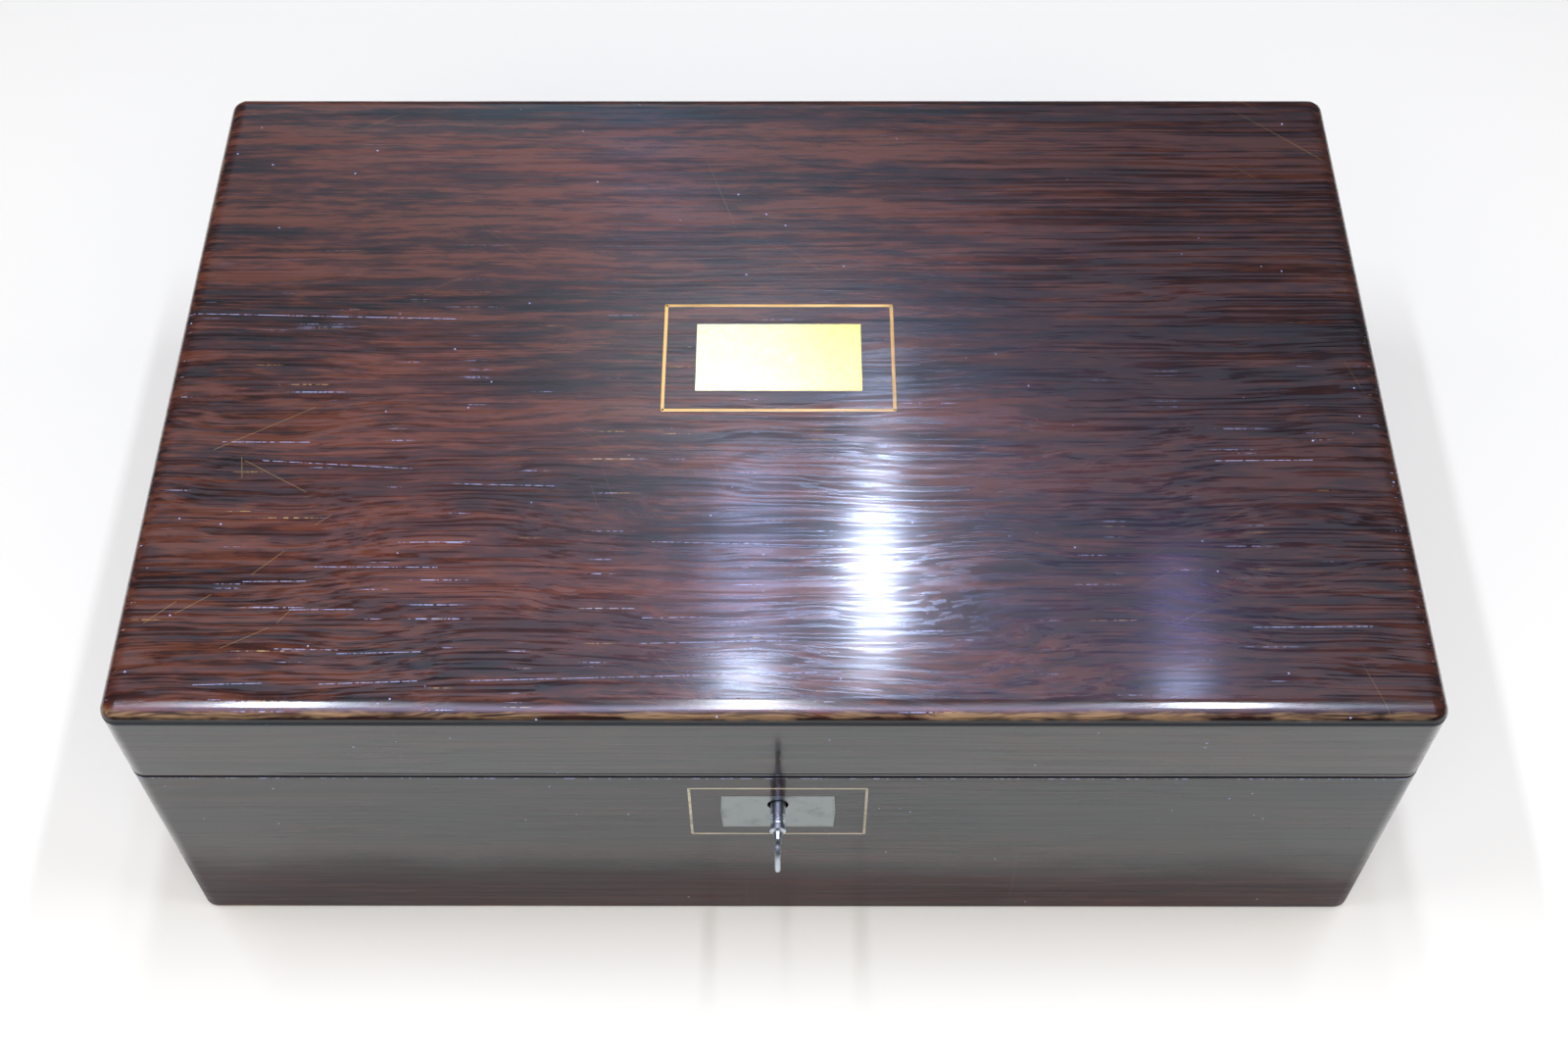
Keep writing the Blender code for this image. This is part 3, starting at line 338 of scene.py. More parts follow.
def openPoreGroup():
    # Short open pores along X, each a row of fine specks; Tint runs from 0 to 1 over the pores
    group, taken, given = newGroup("Open pores", [], ["Mask", "Tint"])
    specks = fade(noise(taken["Place"], (520, 260, 260), 2.0, 0.8), 0.42, 0.56)
    mask = 0.0
    for size, keep, shift in (((20, 900, 900), 0.925, 0.0), ((44, 1300, 1300), 0.90, 4.3)):
        spot = mapped(taken["Place"], size, (shift, shift, shift))
        chosen = parts(cells(spot, 1.0, output="Color"))
        kept = fade(chosen[0], keep, keep + 0.004)
        near = fade(cells(spot, 1.0), 0.26, 0.12)
        mask = larger(times(near, kept), mask)
        tint = chosen[1]
    join(given, Mask=times(mask, specks), Tint=tint)
    return group


def lineGroup():
    # A thin straight mark from Start to End, seen from above
    inputs = (("Start", "vector", (0, 0, 0)), ("End", "vector", (0.01, 0, 0)), ("Wide", "value", 0.0001))
    group, taken, given = newGroup("Straight mark", inputs, ["Line"])
    offset = minus(vectorCalc("MULTIPLY", taken["Place"], (1, 1, 0)), taken["Start"])
    run = minus(taken["End"], taken["Start"])
    along = calc("DIVIDE", dot(offset, run), dot(run, run))
    along = calc("MINIMUM", larger(along, 0.0), 1.0)
    nearest = vectorCalc("SCALE", run)
    joinTo(nearest.node.inputs["Scale"], along)
    ratio = calc("DIVIDE", vectorCalc("DISTANCE", offset, nearest), taken["Wide"])
    join(given, Line=fade(ratio, 1.0, 0.35))
    return group


def frameLineGroup():
    # A thin line just outside a rectangle; its depth is given as the third half size
    inputs = (*boxInputs, ("Wide", "value", 0.0003))
    group, taken, given = newGroup("Line round a rectangle", inputs, ["Line"])
    offset = minus(taken["Place"], taken["Centre"])
    beyond = minus(vectorCalc("ABSOLUTE", offset), taken["Half"])
    across, deep, high = parts(beyond)
    outside = larger(larger(across, deep), high)
    ratio = calc("DIVIDE", calc("ABSOLUTE", outside), taken["Wide"])
    join(given, Line=fade(ratio, 1.0, 0.4))
    return group


def leatherGroup():
    # Pebbled hide: small rounded cells with creases between them, and a mottle
    group, taken, given = newGroup("Hide grain", [("Size", "value", 900.0)], ["Height", "Mottle"])
    place = taken["Place"]
    pebble = newNode("TexVoronoi")
    pebble.feature = "SMOOTH_F1"
    join(pebble.inputs, Vector=place, Scale=taken["Size"])
    crease = fade(pebble.outputs["Distance"], 0.15, 0.75, 1.0, 0.0)
    join(given, Height=timesPlus(noise(place, 260, 3.0), 0.5, crease), Mottle=noise(place, 24, 4.0, 0.6))
    return group


edgeDistance = edgeDistanceGroup()
woodFigure = woodFigureGroup()
handlingWear = wearGroup()
openPores = openPoreGroup()
metalSkin = metalGroup()
straightMark = lineGroup()
frameLine = frameLineGroup()
hideGrain = leatherGroup()
print("Shared effects built")

# Materials
rosewoodLook = {
    "dark": (0.0085, 0.0054, 0.0058),
    "middle": (0.034, 0.0112, 0.0086),
    "bright": (0.088, 0.0275, 0.0160),
    "redder": (0.018, 0.003, 0.0012),
    "rubbed": (0.25, 0.150, 0.080),
    "rubbedDark": (0.060, 0.034, 0.020),
    # pale bluish colour of cracks, dust and open pores, also used for the painted highlight specks
    "paleMarkAndGlint": (0.36, 0.40, 0.68),
    "gilded": (0.42, 0.27, 0.10),
    "black": (0.004, 0.003, 0.004),
    "coatRough": 0.10,
    # the polish tints colour the wood's reflections bluish, most of all on the front faces: a painted blue
    # cast
    "polish": (0.5, (0.82, 0.88, 1.0)),
    "facePolish": (0.30, (0.40, 0.84, 1.0)),
    "scratchLevel": (0.25, 0.08),
    # painted shade: the front faces are darkened throughout, and the top towards its right
    "paintedFaceShade": 0.72,
    "paintedTopShade": (0.02, 0.13, 0.0, 0.50),
    "wildGrain": (0.06, -0.05, 0.004, 0.020),
    "openDeep": (0.05, -0.03, 0.1, 0.8),
    "openAcross": (0.18, -0.05, 0.45, 1.0),
    "topReach": 0.0031,
    "sideReach": 0.0022,
    # painted shade along the joint between lid and base; the seam colour also darkens the joint lines
    "partingShade": {"lid": (0.0006, 0.0003), "base": (0.0010, 0.0007)},
    "seamLinesAndShade": (0.004, 0.004, 0.009),
    # painted highlight: bright specks just under the joint
    "paintedGlintLine": (0.0013, 0.0003),
    "beadLine": 0.0018,
    "beadStart": (0.035, 0.06, 0.0, 0.9),
    "seamLine": 0.00042,
    "boardLine": 0.0015,
    "rubbedFront": (0.006, 0.003),
    "rubbedAcross": (0.11, 0.19, 1.0, 0.6),
    "unevenFront": (0.0055, 0.0085, 0.2, 1.0),
    # towards the bottom the base loses its coat, and its front turns redder and rougher
    "footDull": (0.052, 0.022, 0.0, 0.95),
    "footFade": (0.062, 0.032),
    "footRed": (0.016, 0.0015, 0.001),
    "footRough": 0.20,
    "faceGloss": (0.76, 0.50),
    "markWide": 0.00016,
    "inlayLine": 0.00028,
    "chip": (0.0392, -0.0981, 0.0009),
}

# Cracks that the polish has sunk into and fine scratches on the lid's top: x and y of both ends
topCracks = (
    (-0.199, 0.0250, -0.106, 0.0226), (-0.164, -0.0366, -0.116, -0.0398),
    (-0.178, -0.0292, -0.150, -0.0293), (-0.102, -0.0457, -0.069, -0.0466),
    (-0.117, -0.0682, -0.095, -0.0679), (-0.142, -0.0773, -0.104, -0.0775),
    (-0.164, -0.0828, -0.144, -0.0826), (-0.148, -0.0930, -0.128, -0.0928),
    (-0.150, -0.1068, -0.131, -0.1072), (-0.131, -0.1085, -0.106, -0.1078),
    (-0.173, -0.1193, -0.152, -0.1187), (-0.135, -0.1190, -0.106, -0.1179),
    (-0.091, -0.1178, 0.020, -0.1146), (-0.038, -0.0679, 0.021, -0.0695),
    (-0.040, -0.0958, -0.019, -0.0954), (-0.041, -0.1048, 0.007, -0.1037),
    (0.141, -0.0365, 0.172, -0.0362), (0.145, -0.0990, 0.181, -0.0986),
)
topScratches = (
    (-0.1804, -0.0323, -0.1501, -0.0151), (-0.1610, -0.0802, -0.1521, -0.0715),
    (-0.1821, -0.0944, -0.1723, -0.0876), (-0.1697, -0.0366, -0.1485, -0.0489),
    (-0.1664, -0.1066, -0.1529, -0.0994), (-0.1910, -0.0978, -0.1824, -0.0899),
    (-0.1438, -0.0615, -0.1394, -0.0579), (-0.1709, -0.0354, -0.1696, -0.0434),
    (-0.1507, -0.0977, -0.1463, -0.0921),
)


def markMask(place, marks, wide):
    total = 0.0
    for startX, startY, endX, endY in marks:
        ends = {"Start": (startX, startY, 0), "End": (endX, endY, 0)}
        total = larger(useGroup(straightMark, Place=place, Wide=wide, **ends)["Line"], total)
    return total


def seamMask(place, lid):
    # Painted shade along the joint between lid and base, and dark joint lines in the bead over it and under
    # the lid's top board
    look = rosewoodLook
    offset = minus(place, hingePlace)
    over = dot(offset, outward)
    dark = fade(calc("ABSOLUTE", over), *look["partingShade"]["lid" if lid else "base"])
    if not lid:
        return dark
    thin = look["seamLine"]
    bead = calc("ABSOLUTE", calc("SUBTRACT", over, look["beadLine"]))
    fading = fade(calc("ADD", parts(place)[0], halfWidth), *look["beadStart"])
    dark = larger(times(fade(bead, thin, thin * 0.5), fading), dark)
    board = calc("ABSOLUTE", calc("SUBTRACT", parts(place)[2], topLow.z + look["boardLine"]))
    edge = fade(board, look["boardLine"], look["boardLine"] * 0.3)
    return larger(times(edge, 0.85), dark)


def rosewood(name, centre, half, turned=False, seed=(0, 0, 0), top=False, lid=True, face=False, inlays=()):
    look = rosewoodLook
    # The tint paints a blue cast into the reflections
    level, tint = look["facePolish" if face else "polish"]
    material, sockets, place = newMaterial(
        name,
        Coat_Roughness=look["coatRough"],
        Coat_IOR=1.5,
        IOR=1.5,
        Specular_IOR_Level=level,
        Specular_Tint=tint,
    )
    grain = mapped(place, (1, 1, 1), seed, (0, 0, math.pi / 2 if turned else 0))
    across, deep, high = parts(place)
    fromFront = calc("ADD", deep, halfDepth)
    wild = fade(deep, *look["wildGrain"]) if top else 0.006
    figure = useGroup(
        woodFigure, Place=grain, Swirl=wild, Dark=look["dark"], Middle=look["middle"], Bright=look["bright"]
    )
    redder = fade(noise(grain, (6, 14, 14), 2.0), 0.44, 0.68)
    colour = mixColour(redder, figure["Colour"], look["redder"], "ADD")
    # Painted shade: the front faces darken all over, the top towards its right side
    if top or face:
        shade = fade(across, *look["paintedTopShade"]) if top else look["paintedFaceShade"]
        colour = mixColour(shade, colour, look["dark"])

    edge = useGroup(edgeDistance, Place=place, Centre=centre, Half=half)["Distance"]
    patchy = fade(noise(place, 13, 1.0), 0.50, 0.64, 0.0, 0.7)
    front = 0.0
    if lid:
        front = times(fade(fromFront, *look["rubbedFront"]), fade(across, *look["rubbedAcross"]))
    wear = useGroup(
        handlingWear,
        Place=place,
        Edge=edge,
        Reach=look["topReach"] if lid else look["sideReach"],
        Least=timesPlus(front, 0.5, 0.15),
        Amount=larger(front, patchy),
    )
    rubbedColour = mixColour(fade(figure["Hairs"], 0.32, 0.62), look["rubbedDark"], look["rubbed"])
    rubbedColour = mixColour(fade(figure["Rows"], 0.60, 0.70), rubbedColour, look["black"])
    colour = mixColour(wear["Rubbed"], colour, rubbedColour)

    scratches = times(wear["Scratches"], look["scratchLevel"][0 if top else 1])
    marks = wear["Dust"]
    if top:
        drawn = markMask(place, topScratches, look["markWide"] * 0.8)
        scratches = larger(times(drawn, 0.45), scratches)
        specks = fade(noise(place, (600, 60, 60), 2.0, 0.8), 0.36, 0.56)
        cracks = times(markMask(place, topCracks, look["markWide"]), specks)
        spot = vectorCalc("DISTANCE", place, (*look["chip"][:2], boxHeight))
        chip = fade(spot, look["chip"][2], look["chip"][2] * 0.6)
        marks = larger(larger(cracks, chip), marks)
    if face and not lid:
        # Painted highlight: bright specks just under the joint, where the base's rounded lip catches the
        # light
        over = dot(minus(place, hingePlace), outward)
        offset, thin = look["paintedGlintLine"]
        near = fade(calc("ABSOLUTE", calc("ADD", over, offset)), thin, thin * 0.4)
        broken = fade(noise(place, (420, 60, 60), 3.0, 0.75), 0.50, 0.60)
        marks = larger(times(near, broken), marks)
        # Towards the bottom of the base's front the colour turns redder
        foot = fade(timesPlus(wear["Smudge"], 0.03, high), *look["footFade"])
        colour = mixColour(foot, colour, look["footRed"], "ADD")
    colour = mixColour(scratches, colour, look["gilded"])
    pores = useGroup(openPores, Place=grain)
    amount = 0.10
    if top:
        amount = times(fade(deep, *look["openDeep"]), fade(across, *look["openAcross"]))
    openMask = times(pores["Mask"], amount)
    openColour = mixColour(fade(pores["Tint"], 0.70, 0.74), look["paleMarkAndGlint"], look["gilded"])
    colour = mixColour(openMask, colour, openColour)
    # The marks are dust, cracks and the chip, and on the base's front the painted highlight specks under the
    # joint
    colour = mixColour(times(marks, 0.85), colour, look["paleMarkAndGlint"])
    for middle, size in inlays:
        line = useGroup(frameLine, Place=place, Centre=middle, Half=size, Wide=look["inlayLine"])["Line"]
        colour = mixColour(times(line, 0.85), colour, look["black"])
    # The seam mask is painted shade in the joint, with dark joint lines on the lid
    seam = 0.0 if top else seamMask(place, lid)
    join(sockets, Base_Color=mixColour(seam, colour, look["seamLinesAndShade"]))

    uneven = fade(fromFront, *look["unevenFront"]) if top else 0.3
    rows = timesPlus(fade(figure["Rows"], 0.36, 0.62, 0.0, 0.36), uneven, 0.14)
    dull = timesPlus(wear["Rubbed"], 0.20, rows)
    dull = timesPlus(fade(wear["Smudge"], 0.4, 0.75), 0.08, dull)
    dull = timesPlus(larger(marks, openMask), 0.3, dull)
    if face and not lid:
        dull = timesPlus(foot, look["footRough"], dull)
    join(sockets, Roughness=timesPlus(seam, 0.6, dull, clamp=True))
    bare = larger(times(wear["Rubbed"], 0.6), larger(marks, seam))
    sunk = times(fade(figure["Rows"], 0.42, 0.66, 0.0, 0.55), uneven)
    bare = larger(bare, sunk)
    # Towards the bottom the coat thins
    if not top:
        low = timesPlus(calc("SUBTRACT", wear["Smudge"], 0.5), 0.05, high)
        bare = larger(bare, fade(low, *look["footDull"]))
    gloss = look["faceGloss"][0 if lid else 1] if face else 1.0
    covered = calc("SUBTRACT", 1.0, bare, clamp=True)
    join(sockets, Coat_Weight=times(covered, gloss))
    height = timesPlus(figure["Height"], 0.16, times(wear["Ripple"], 0.3))
    height = timesPlus(marks, -0.4, height)
    join(sockets, Normal=bump(height, 0.00010))
    return material


def plainWood(name, shades, turned=False, roughness=0.42, coat=0.25, seed=(0, 0, 0)):
    # shades: the wood's dark, middle and bright colour
    material, sockets, place = newMaterial(name, Coat_Roughness=0.22, IOR=1.5, Coat_Weight=coat)
    dark, middle, bright = shades
    grain = mapped(place, (1, 1, 1), seed, (0, 0, math.pi / 2 if turned else 0))
    colours = {"Dark": dark, "Middle": middle, "Bright": bright}
    figure = useGroup(woodFigure, Place=grain, Swirl=0.007, Pores=0.8, **colours)
    wear = useGroup(handlingWear, Place=place, Edge=1.0, Amount=0.8)
    stain = fade(wear["Smudge"], 0.45, 0.72)
    colour = mixColour(times(stain, 0.5), figure["Colour"], dark)
    colour = mixColour(times(wear["Scratches"], 0.5), colour, bright)
    join(
        sockets,
        Base_Color=colour,
        Roughness=timesPlus(wear["Smudge"], 0.25, roughness - 0.1),
        Normal=bump(figure["Height"], 0.00006, 0.7),
    )
    return material


def metal(name, bright, dull, roughness, tarnish, piece=None, turned=False, paintedHighlight=None):
    # paintedHighlight is the colour at the left end of the piece: a painted highlight
    material, sockets, place = newMaterial(name, Metallic=1.0)
    lined = mapped(place, turn=(0, 0, math.pi / 2 if turned else 0))
    edge = 1.0
    if piece:
        low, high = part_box(piece)
        middle, half = (low + high) / 2, (high - low) / 2
        edge = useGroup(edgeDistance, Place=place, Centre=middle, Half=half)["Distance"]
    skin = useGroup(metalSkin, Place=lined, Edge=edge, Tarnish=tarnish)
    colour = mixColour(skin["Tarnish"], bright, dull)
    # Painted highlight: the colour pales towards the piece's left end
    if paintedHighlight:
        colour = mixColour(fade(parts(place)[0], low.x, high.x, 1.0, 0.0), colour, paintedHighlight)
    join(sockets, Base_Color=mixColour(times(skin["Scuff"], 0.35), colour, bright))
    rough = timesPlus(skin["Tarnish"], 0.22, roughness)
    join(sockets, Roughness=timesPlus(skin["Scuff"], 0.12, rough))
    height = timesPlus(skin["Scuff"], -0.6, skin["Brush"])
    join(sockets, Normal=bump(height, 0.000012))
    return material


leatherLook = {
    "dark": (0.016, 0.006, 0.008),
    "bright": (0.060, 0.012, 0.014),
    "scuffed": (0.16, 0.07, 0.05),
    "gilt": (0.80, 0.52, 0.18),
    "giltLines": ((0.006, 0.0007), (0.0095, 0.00035)),
    "rough": (0.40, 0.60),
}


def leather(name, centre, half):
    # Wine red skiver with a plain gilt line near its edge and a thinner one inside it
    look = leatherLook
    material, sockets, place = newMaterial(name, Coat_Roughness=0.3, Coat_Weight=0.15)
    grain = useGroup(hideGrain, Place=place)
    wear = useGroup(handlingWear, Place=place, Edge=1.0, Amount=1.0)
    colour = mixColour(fade(grain["Mottle"], 0.35, 0.68), look["dark"], look["bright"])
    colour = mixColour(times(wear["Scratches"], 0.6), colour, look["scuffed"])
    gilt = 0.0
    for inset, wide in look["giltLines"]:
        size = (half[0] - inset, half[1] - inset, half[2])
        line = useGroup(frameLine, Place=place, Centre=centre, Half=size, Wide=wide)["Line"]
        gilt = larger(line, gilt)
    gilt = times(gilt, fade(noise(place, 420, 3.0, 0.7), 0.36, 0.50))
    join(sockets, Base_Color=mixColour(gilt, colour, look["gilt"]), Metallic=gilt)
    rough = fade(grain["Mottle"], 0.3, 0.7, *look["rough"])
    join(sockets, Roughness=timesPlus(gilt, -0.15, rough))
    height = timesPlus(gilt, -1.2, grain["Height"])
    join(sockets, Normal=bump(height, 0.00008))
    return material


glassLook = {"colour": (0.84, 0.93, 0.90), "bends": 1.52, "smeared": (0.02, 0.12)}


def glass(name):
    look = glassLook
    fixed = {"IOR": look["bends"], "Transmission_Weight": 1.0, "Base_Color": look["colour"]}
    material, sockets, place = newMaterial(name, **fixed)
    smear = noise(place, 90, 3.0, 0.6)
    rough = fade(smear, 0.4, 0.8, *look["smeared"])
    join(sockets, Roughness=rough, Normal=bump(noise(place, 160, 2.0), 0.00006))
    return material


# Only the outer edges of lid and base wear, so the boxes that give edge distances reach far past the joint
far = 0.5


def rectangleOf(*names):
    lows, highs = zip(*(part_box(name) for name in names))
    low = Vector([min(corner[i] for corner in lows) for i in range(3)])
    high = Vector([max(corner[i] for corner in highs) for i in range(3)])
    return (low + high) / 2, (high - low) / 2


lidStrings = ["lid_stringing_" + side for side in ("front", "right", "back", "left")]
frontStrings = ["front_stringing_" + side for side in ("bottom", "right", "top", "left")]
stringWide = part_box("lid_stringing_front")[1].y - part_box("lid_stringing_front")[0].y


def inlayRectangles(plate, strings, flat):
    # flat is the axis that the inlay faces; along it the rectangle has no limit
    found = []
    for middle, size in (rectangleOf(plate), rectangleOf(*strings)):
        size[flat] = 1
        found.append((middle, size))
    inner = found[1][1] - Vector([0 if i == flat else stringWide for i in range(3)])
    found.append((found[1][0], inner))
    return found


topInlays = inlayRectangles("lid_plate", lidStrings, 2)
frontInlays = inlayRectangles("escutcheon_plate", frontStrings, 1)

borderShades = ((0.010, 0.005, 0.004), (0.055, 0.015, 0.010), (0.14, 0.035, 0.020))
boxwoodShades = ((0.30, 0.150, 0.030), (0.52, 0.29, 0.070), (0.66, 0.40, 0.12))
frontStringShades = ((0.20, 0.160, 0.090), (0.34, 0.285, 0.180), (0.46, 0.39, 0.26))
mahoganyShades = ((0.045, 0.014, 0.007), (0.125, 0.042, 0.020), (0.23, 0.085, 0.040))
mahoganySideShades = ((0.045, 0.014, 0.007), (0.12, 0.040, 0.019), (0.22, 0.08, 0.038))
onBase = {"centre": (0, 0, far), "half": (halfWidth, halfDepth, far), "lid": False}
onLid = {"centre": (0, 0, boxHeight - far), "half": (halfWidth, halfDepth, far)}

looks = {
    "lidTop": rosewood("rosewood lid", **onLid, top=True, inlays=topInlays),
    "lidFace": rosewood("rosewood lid front", **onLid, seed=(0.31, 0.12, 0.4), face=True),
    "lidSide": rosewood("rosewood lid side", **onLid, turned=True, seed=(0.7, 0.2, 0.1)),
    "baseFace": rosewood(
        "rosewood base front", **onBase, seed=(0.55, 0.31, 0.2), face=True, inlays=frontInlays
    ),
    "baseSide": rosewood("rosewood base side", **onBase, turned=True, seed=(0.2, 0.5, 0.3)),
    "mahogany": plainWood("mahogany", mahoganyShades),
    "mahoganySide": plainWood("mahogany side", mahoganySideShades, True, seed=(0.3, 0.6, 0.1)),
    "border": plainWood("flap border", borderShades, False, 0.30, 0.7),
    "borderSide": plainWood("side rim", borderShades, True, 0.30, 0.7, (0.4, 0.2, 0.6)),
    "boxwood": plainWood("boxwood string", boxwoodShades, False, 0.28, 0.8),
    "boxwoodSide": plainWood("boxwood string across", boxwoodShades, True, 0.28, 0.8),
    "frontString": plainWood("boxwood string front", frontStringShades, False, 0.28, 0.8),
    "lidPlate": metal(
        "lid plate brass",
        (1.0, 0.76, 0.21),
        (0.72, 0.48, 0.12),
        0.26,
        0.40,
        "lid_plate",
        # painted highlight towards the plate's left end
        paintedHighlight=(1.0, 0.90, 0.50),
    ),
    # Painted reflection: the escutcheon's brass is given a dark bluish grey that stands for the bluish room
    # it mirrors
    "frontPlate": metal(
        "escutcheon brass with painted reflection", (0.27, 0.30, 0.305), (0.15, 0.165, 0.165), 0.30, 0.6, "escutcheon_plate"
    ),
    "brass": metal("hinge brass", (0.80, 0.56, 0.22), (0.34, 0.21, 0.08), 0.24, 0.7),
    "capBrass": metal("cap brass", (0.86, 0.62, 0.26), (0.42, 0.26, 0.10), 0.18, 0.5),
    "steel": metal("key steel", (0.50, 0.55, 0.62), (0.20, 0.21, 0.23), 0.36, 0.6, turned=True),
    "lockSteel": metal("lock steel", (0.36, 0.36, 0.37), (0.11, 0.085, 0.07), 0.34, 0.8),
    "glass": glass("ink bottle glass"),
}
print("Materials built:", len(looks))


# Piece helpers
weldCopy, weldCut = 0.000005, 0.000002


def addObject(name, data):
    item = bpy.data.objects.new(name, data)
    bpy.context.scene.collection.objects.link(item)
    return item


def addShape(name, shape):
    mesh = bpy.data.meshes.new(name)
    shape.to_mesh(mesh)
    shape.free()
    return addObject(name, mesh)


def makePiece(name, shape, finishes, body, stands=(), bend=32):
    # stands lists the nodes that the piece stands for; bend is the angle from which an edge stays sharp
    piece = addShape(name, shape)
    mesh = piece.data
    for finish in finishes:
        mesh.materials.append(finish)
    mesh.shade_smooth()
    mesh.set_sharp_from_angle(angle=math.radians(bend))
    even = piece.modifiers.new("Even shading", "WEIGHTED_NORMAL")
    even.keep_sharp = True
    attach(piece, body)
    if stands:
        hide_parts(*stands)
    return piece


def boxShape(low, high):
    shape = bmesh.new()
    bmesh.ops.create_cube(shape, size=1)
    size, middle = Vector(high) - Vector(low), (Vector(high) + Vector(low)) / 2
    bmesh.ops.scale(shape, vec=size, verts=shape.verts)
    bmesh.ops.translate(shape, vec=middle, verts=shape.verts)
    return shape


def rodShape(place, radius, depth, segments):
    shape = bmesh.new()
    bmesh.ops.create_cone(
        shape, cap_ends=True, segments=segments, radius1=radius, radius2=radius, depth=depth, matrix=place
    )
    return shape


def bevelEdges(shape, edges, width, segments):
    bmesh.ops.bevel(
        shape,
        geom=edges,
        offset=width,
        offset_type="OFFSET",
        segments=segments,
        profile=0.5,
        affect="EDGES",
        material=-1,
        clamp_overlap=True,
    )


def easeEdges(shape, width, least=35):
    shared = [edge for edge in shape.edges if len(edge.link_faces) == 2]
    crisp = [edge for edge in shared if edge.calc_face_angle(0) > math.radians(least)]
    bevelEdges(shape, crisp, width, 2)


def mergedCopy(node):
    shape = bmesh.new()
    shape.from_mesh(nodes[node].data)
    bmesh.ops.remove_doubles(shape, verts=shape.verts, dist=weldCopy)
    bmesh.ops.dissolve_limit(shape, angle_limit=math.radians(0.6), verts=shape.verts, edges=shape.edges)
    return shape


def carve(name, shape, cutters):
    # Cuts each closed cutter shape out of the shape, and gives back the carved shape
    body = addShape(name + "Blank", shape)
    tools = [addShape(name + "Cutter", cutter) for cutter in cutters]
    for tool in tools:
        step = body.modifiers.new("Cut", "BOOLEAN")
        step.operation = "DIFFERENCE"
        step.solver = "EXACT"
        step.object = tool
    done = body.evaluated_get(bpy.context.evaluated_depsgraph_get()).to_mesh()
    carved = bmesh.new()
    carved.from_mesh(done)
    for item in [body, *tools]:
        bpy.data.objects.remove(item)
    bmesh.ops.remove_doubles(carved, verts=carved.verts, dist=weldCut)
    return carved


# Case
caseShape = {
    "cornerRound": 0.0055,
    "profileSteps": 16,
    "profileEase": 1.6,
    "roundLength": 0.0088,
    "shoulderLength": 0.0092,
    "footRound": 0.0012,
    "lipRound": 0.0003,
    "lipSteps": 3,
    "roundSteps": 9,
    "recessPlay": 0.00015,
    "cutBeyond": 0.02,
}
keyholeShape = {
    "radius": 0.0035,
    "depth": 0.012,
    "inward": 0.002,
    "segments": 32,
    "slotHalf": 0.0014,
    "slotDrop": 0.0068,
    "slotReach": (-0.003, 0.008),
}
sideSlot, innerSlot, rimSlot, frontSlot, sideRimSlot = range(1, 6)


def topProfile():
    # From the side's face to the flat top: how far in and how far down, steep first, then a slow shoulder
    size = caseShape
    points = []
    inset, fall = 0.0, 0.0
    steps = size["profileSteps"]
    for step in range(steps + 1):
        share = step / steps
        steep = (math.pi / 2) * (1 - share) ** size["profileEase"]
        points.append((inset, fall))
        length = size["roundLength"] * (1 - share) + size["shoulderLength"] * share
        inset += length / steps * math.cos(steep)
        fall += length / steps * math.sin(steep)
    return [(across, fall - down) for across, down in points]


def roundTop(shape):
    # Replaces the flat top by rings that follow the rounded outline inward
    size = caseShape
    radius = size["cornerRound"]
    level = [face for face in shape.faces if face.normal.z > 0.99]
    loop = [corner.vert for corner in level[0].loops]
    bmesh.ops.delete(shape, geom=level, context="FACES_ONLY")
    profile = topProfile()
    middles = []
    for vert in loop:
        cornerX = math.copysign(halfWidth - radius, vert.co.x)
        corner = Vector((cornerX, math.copysign(halfDepth - radius, vert.co.y), 0))
        middles.append((corner, (Vector((vert.co.x, vert.co.y, 0)) - corner) / radius))
        vert.co.z = boxHeight - profile[0][1]
    ring = loop
    for inset, fall in profile[1:]:
        left = max(radius - inset, radius * 0.02)
        back = max(inset - radius + left, 0)
        made = []
        for corner, direction in middles:
            inner = corner - Vector((math.copysign(back, corner.x), math.copysign(back, corner.y), 0))
            made.append(shape.verts.new(inner + direction * left + axisZ * (boxHeight - fall)))
        for k in range(len(ring)):
            m = (k + 1) % len(ring)
            shape.faces.new((ring[k], ring[m], made[m], made[k]))
        ring = made
    shape.faces.new(ring)


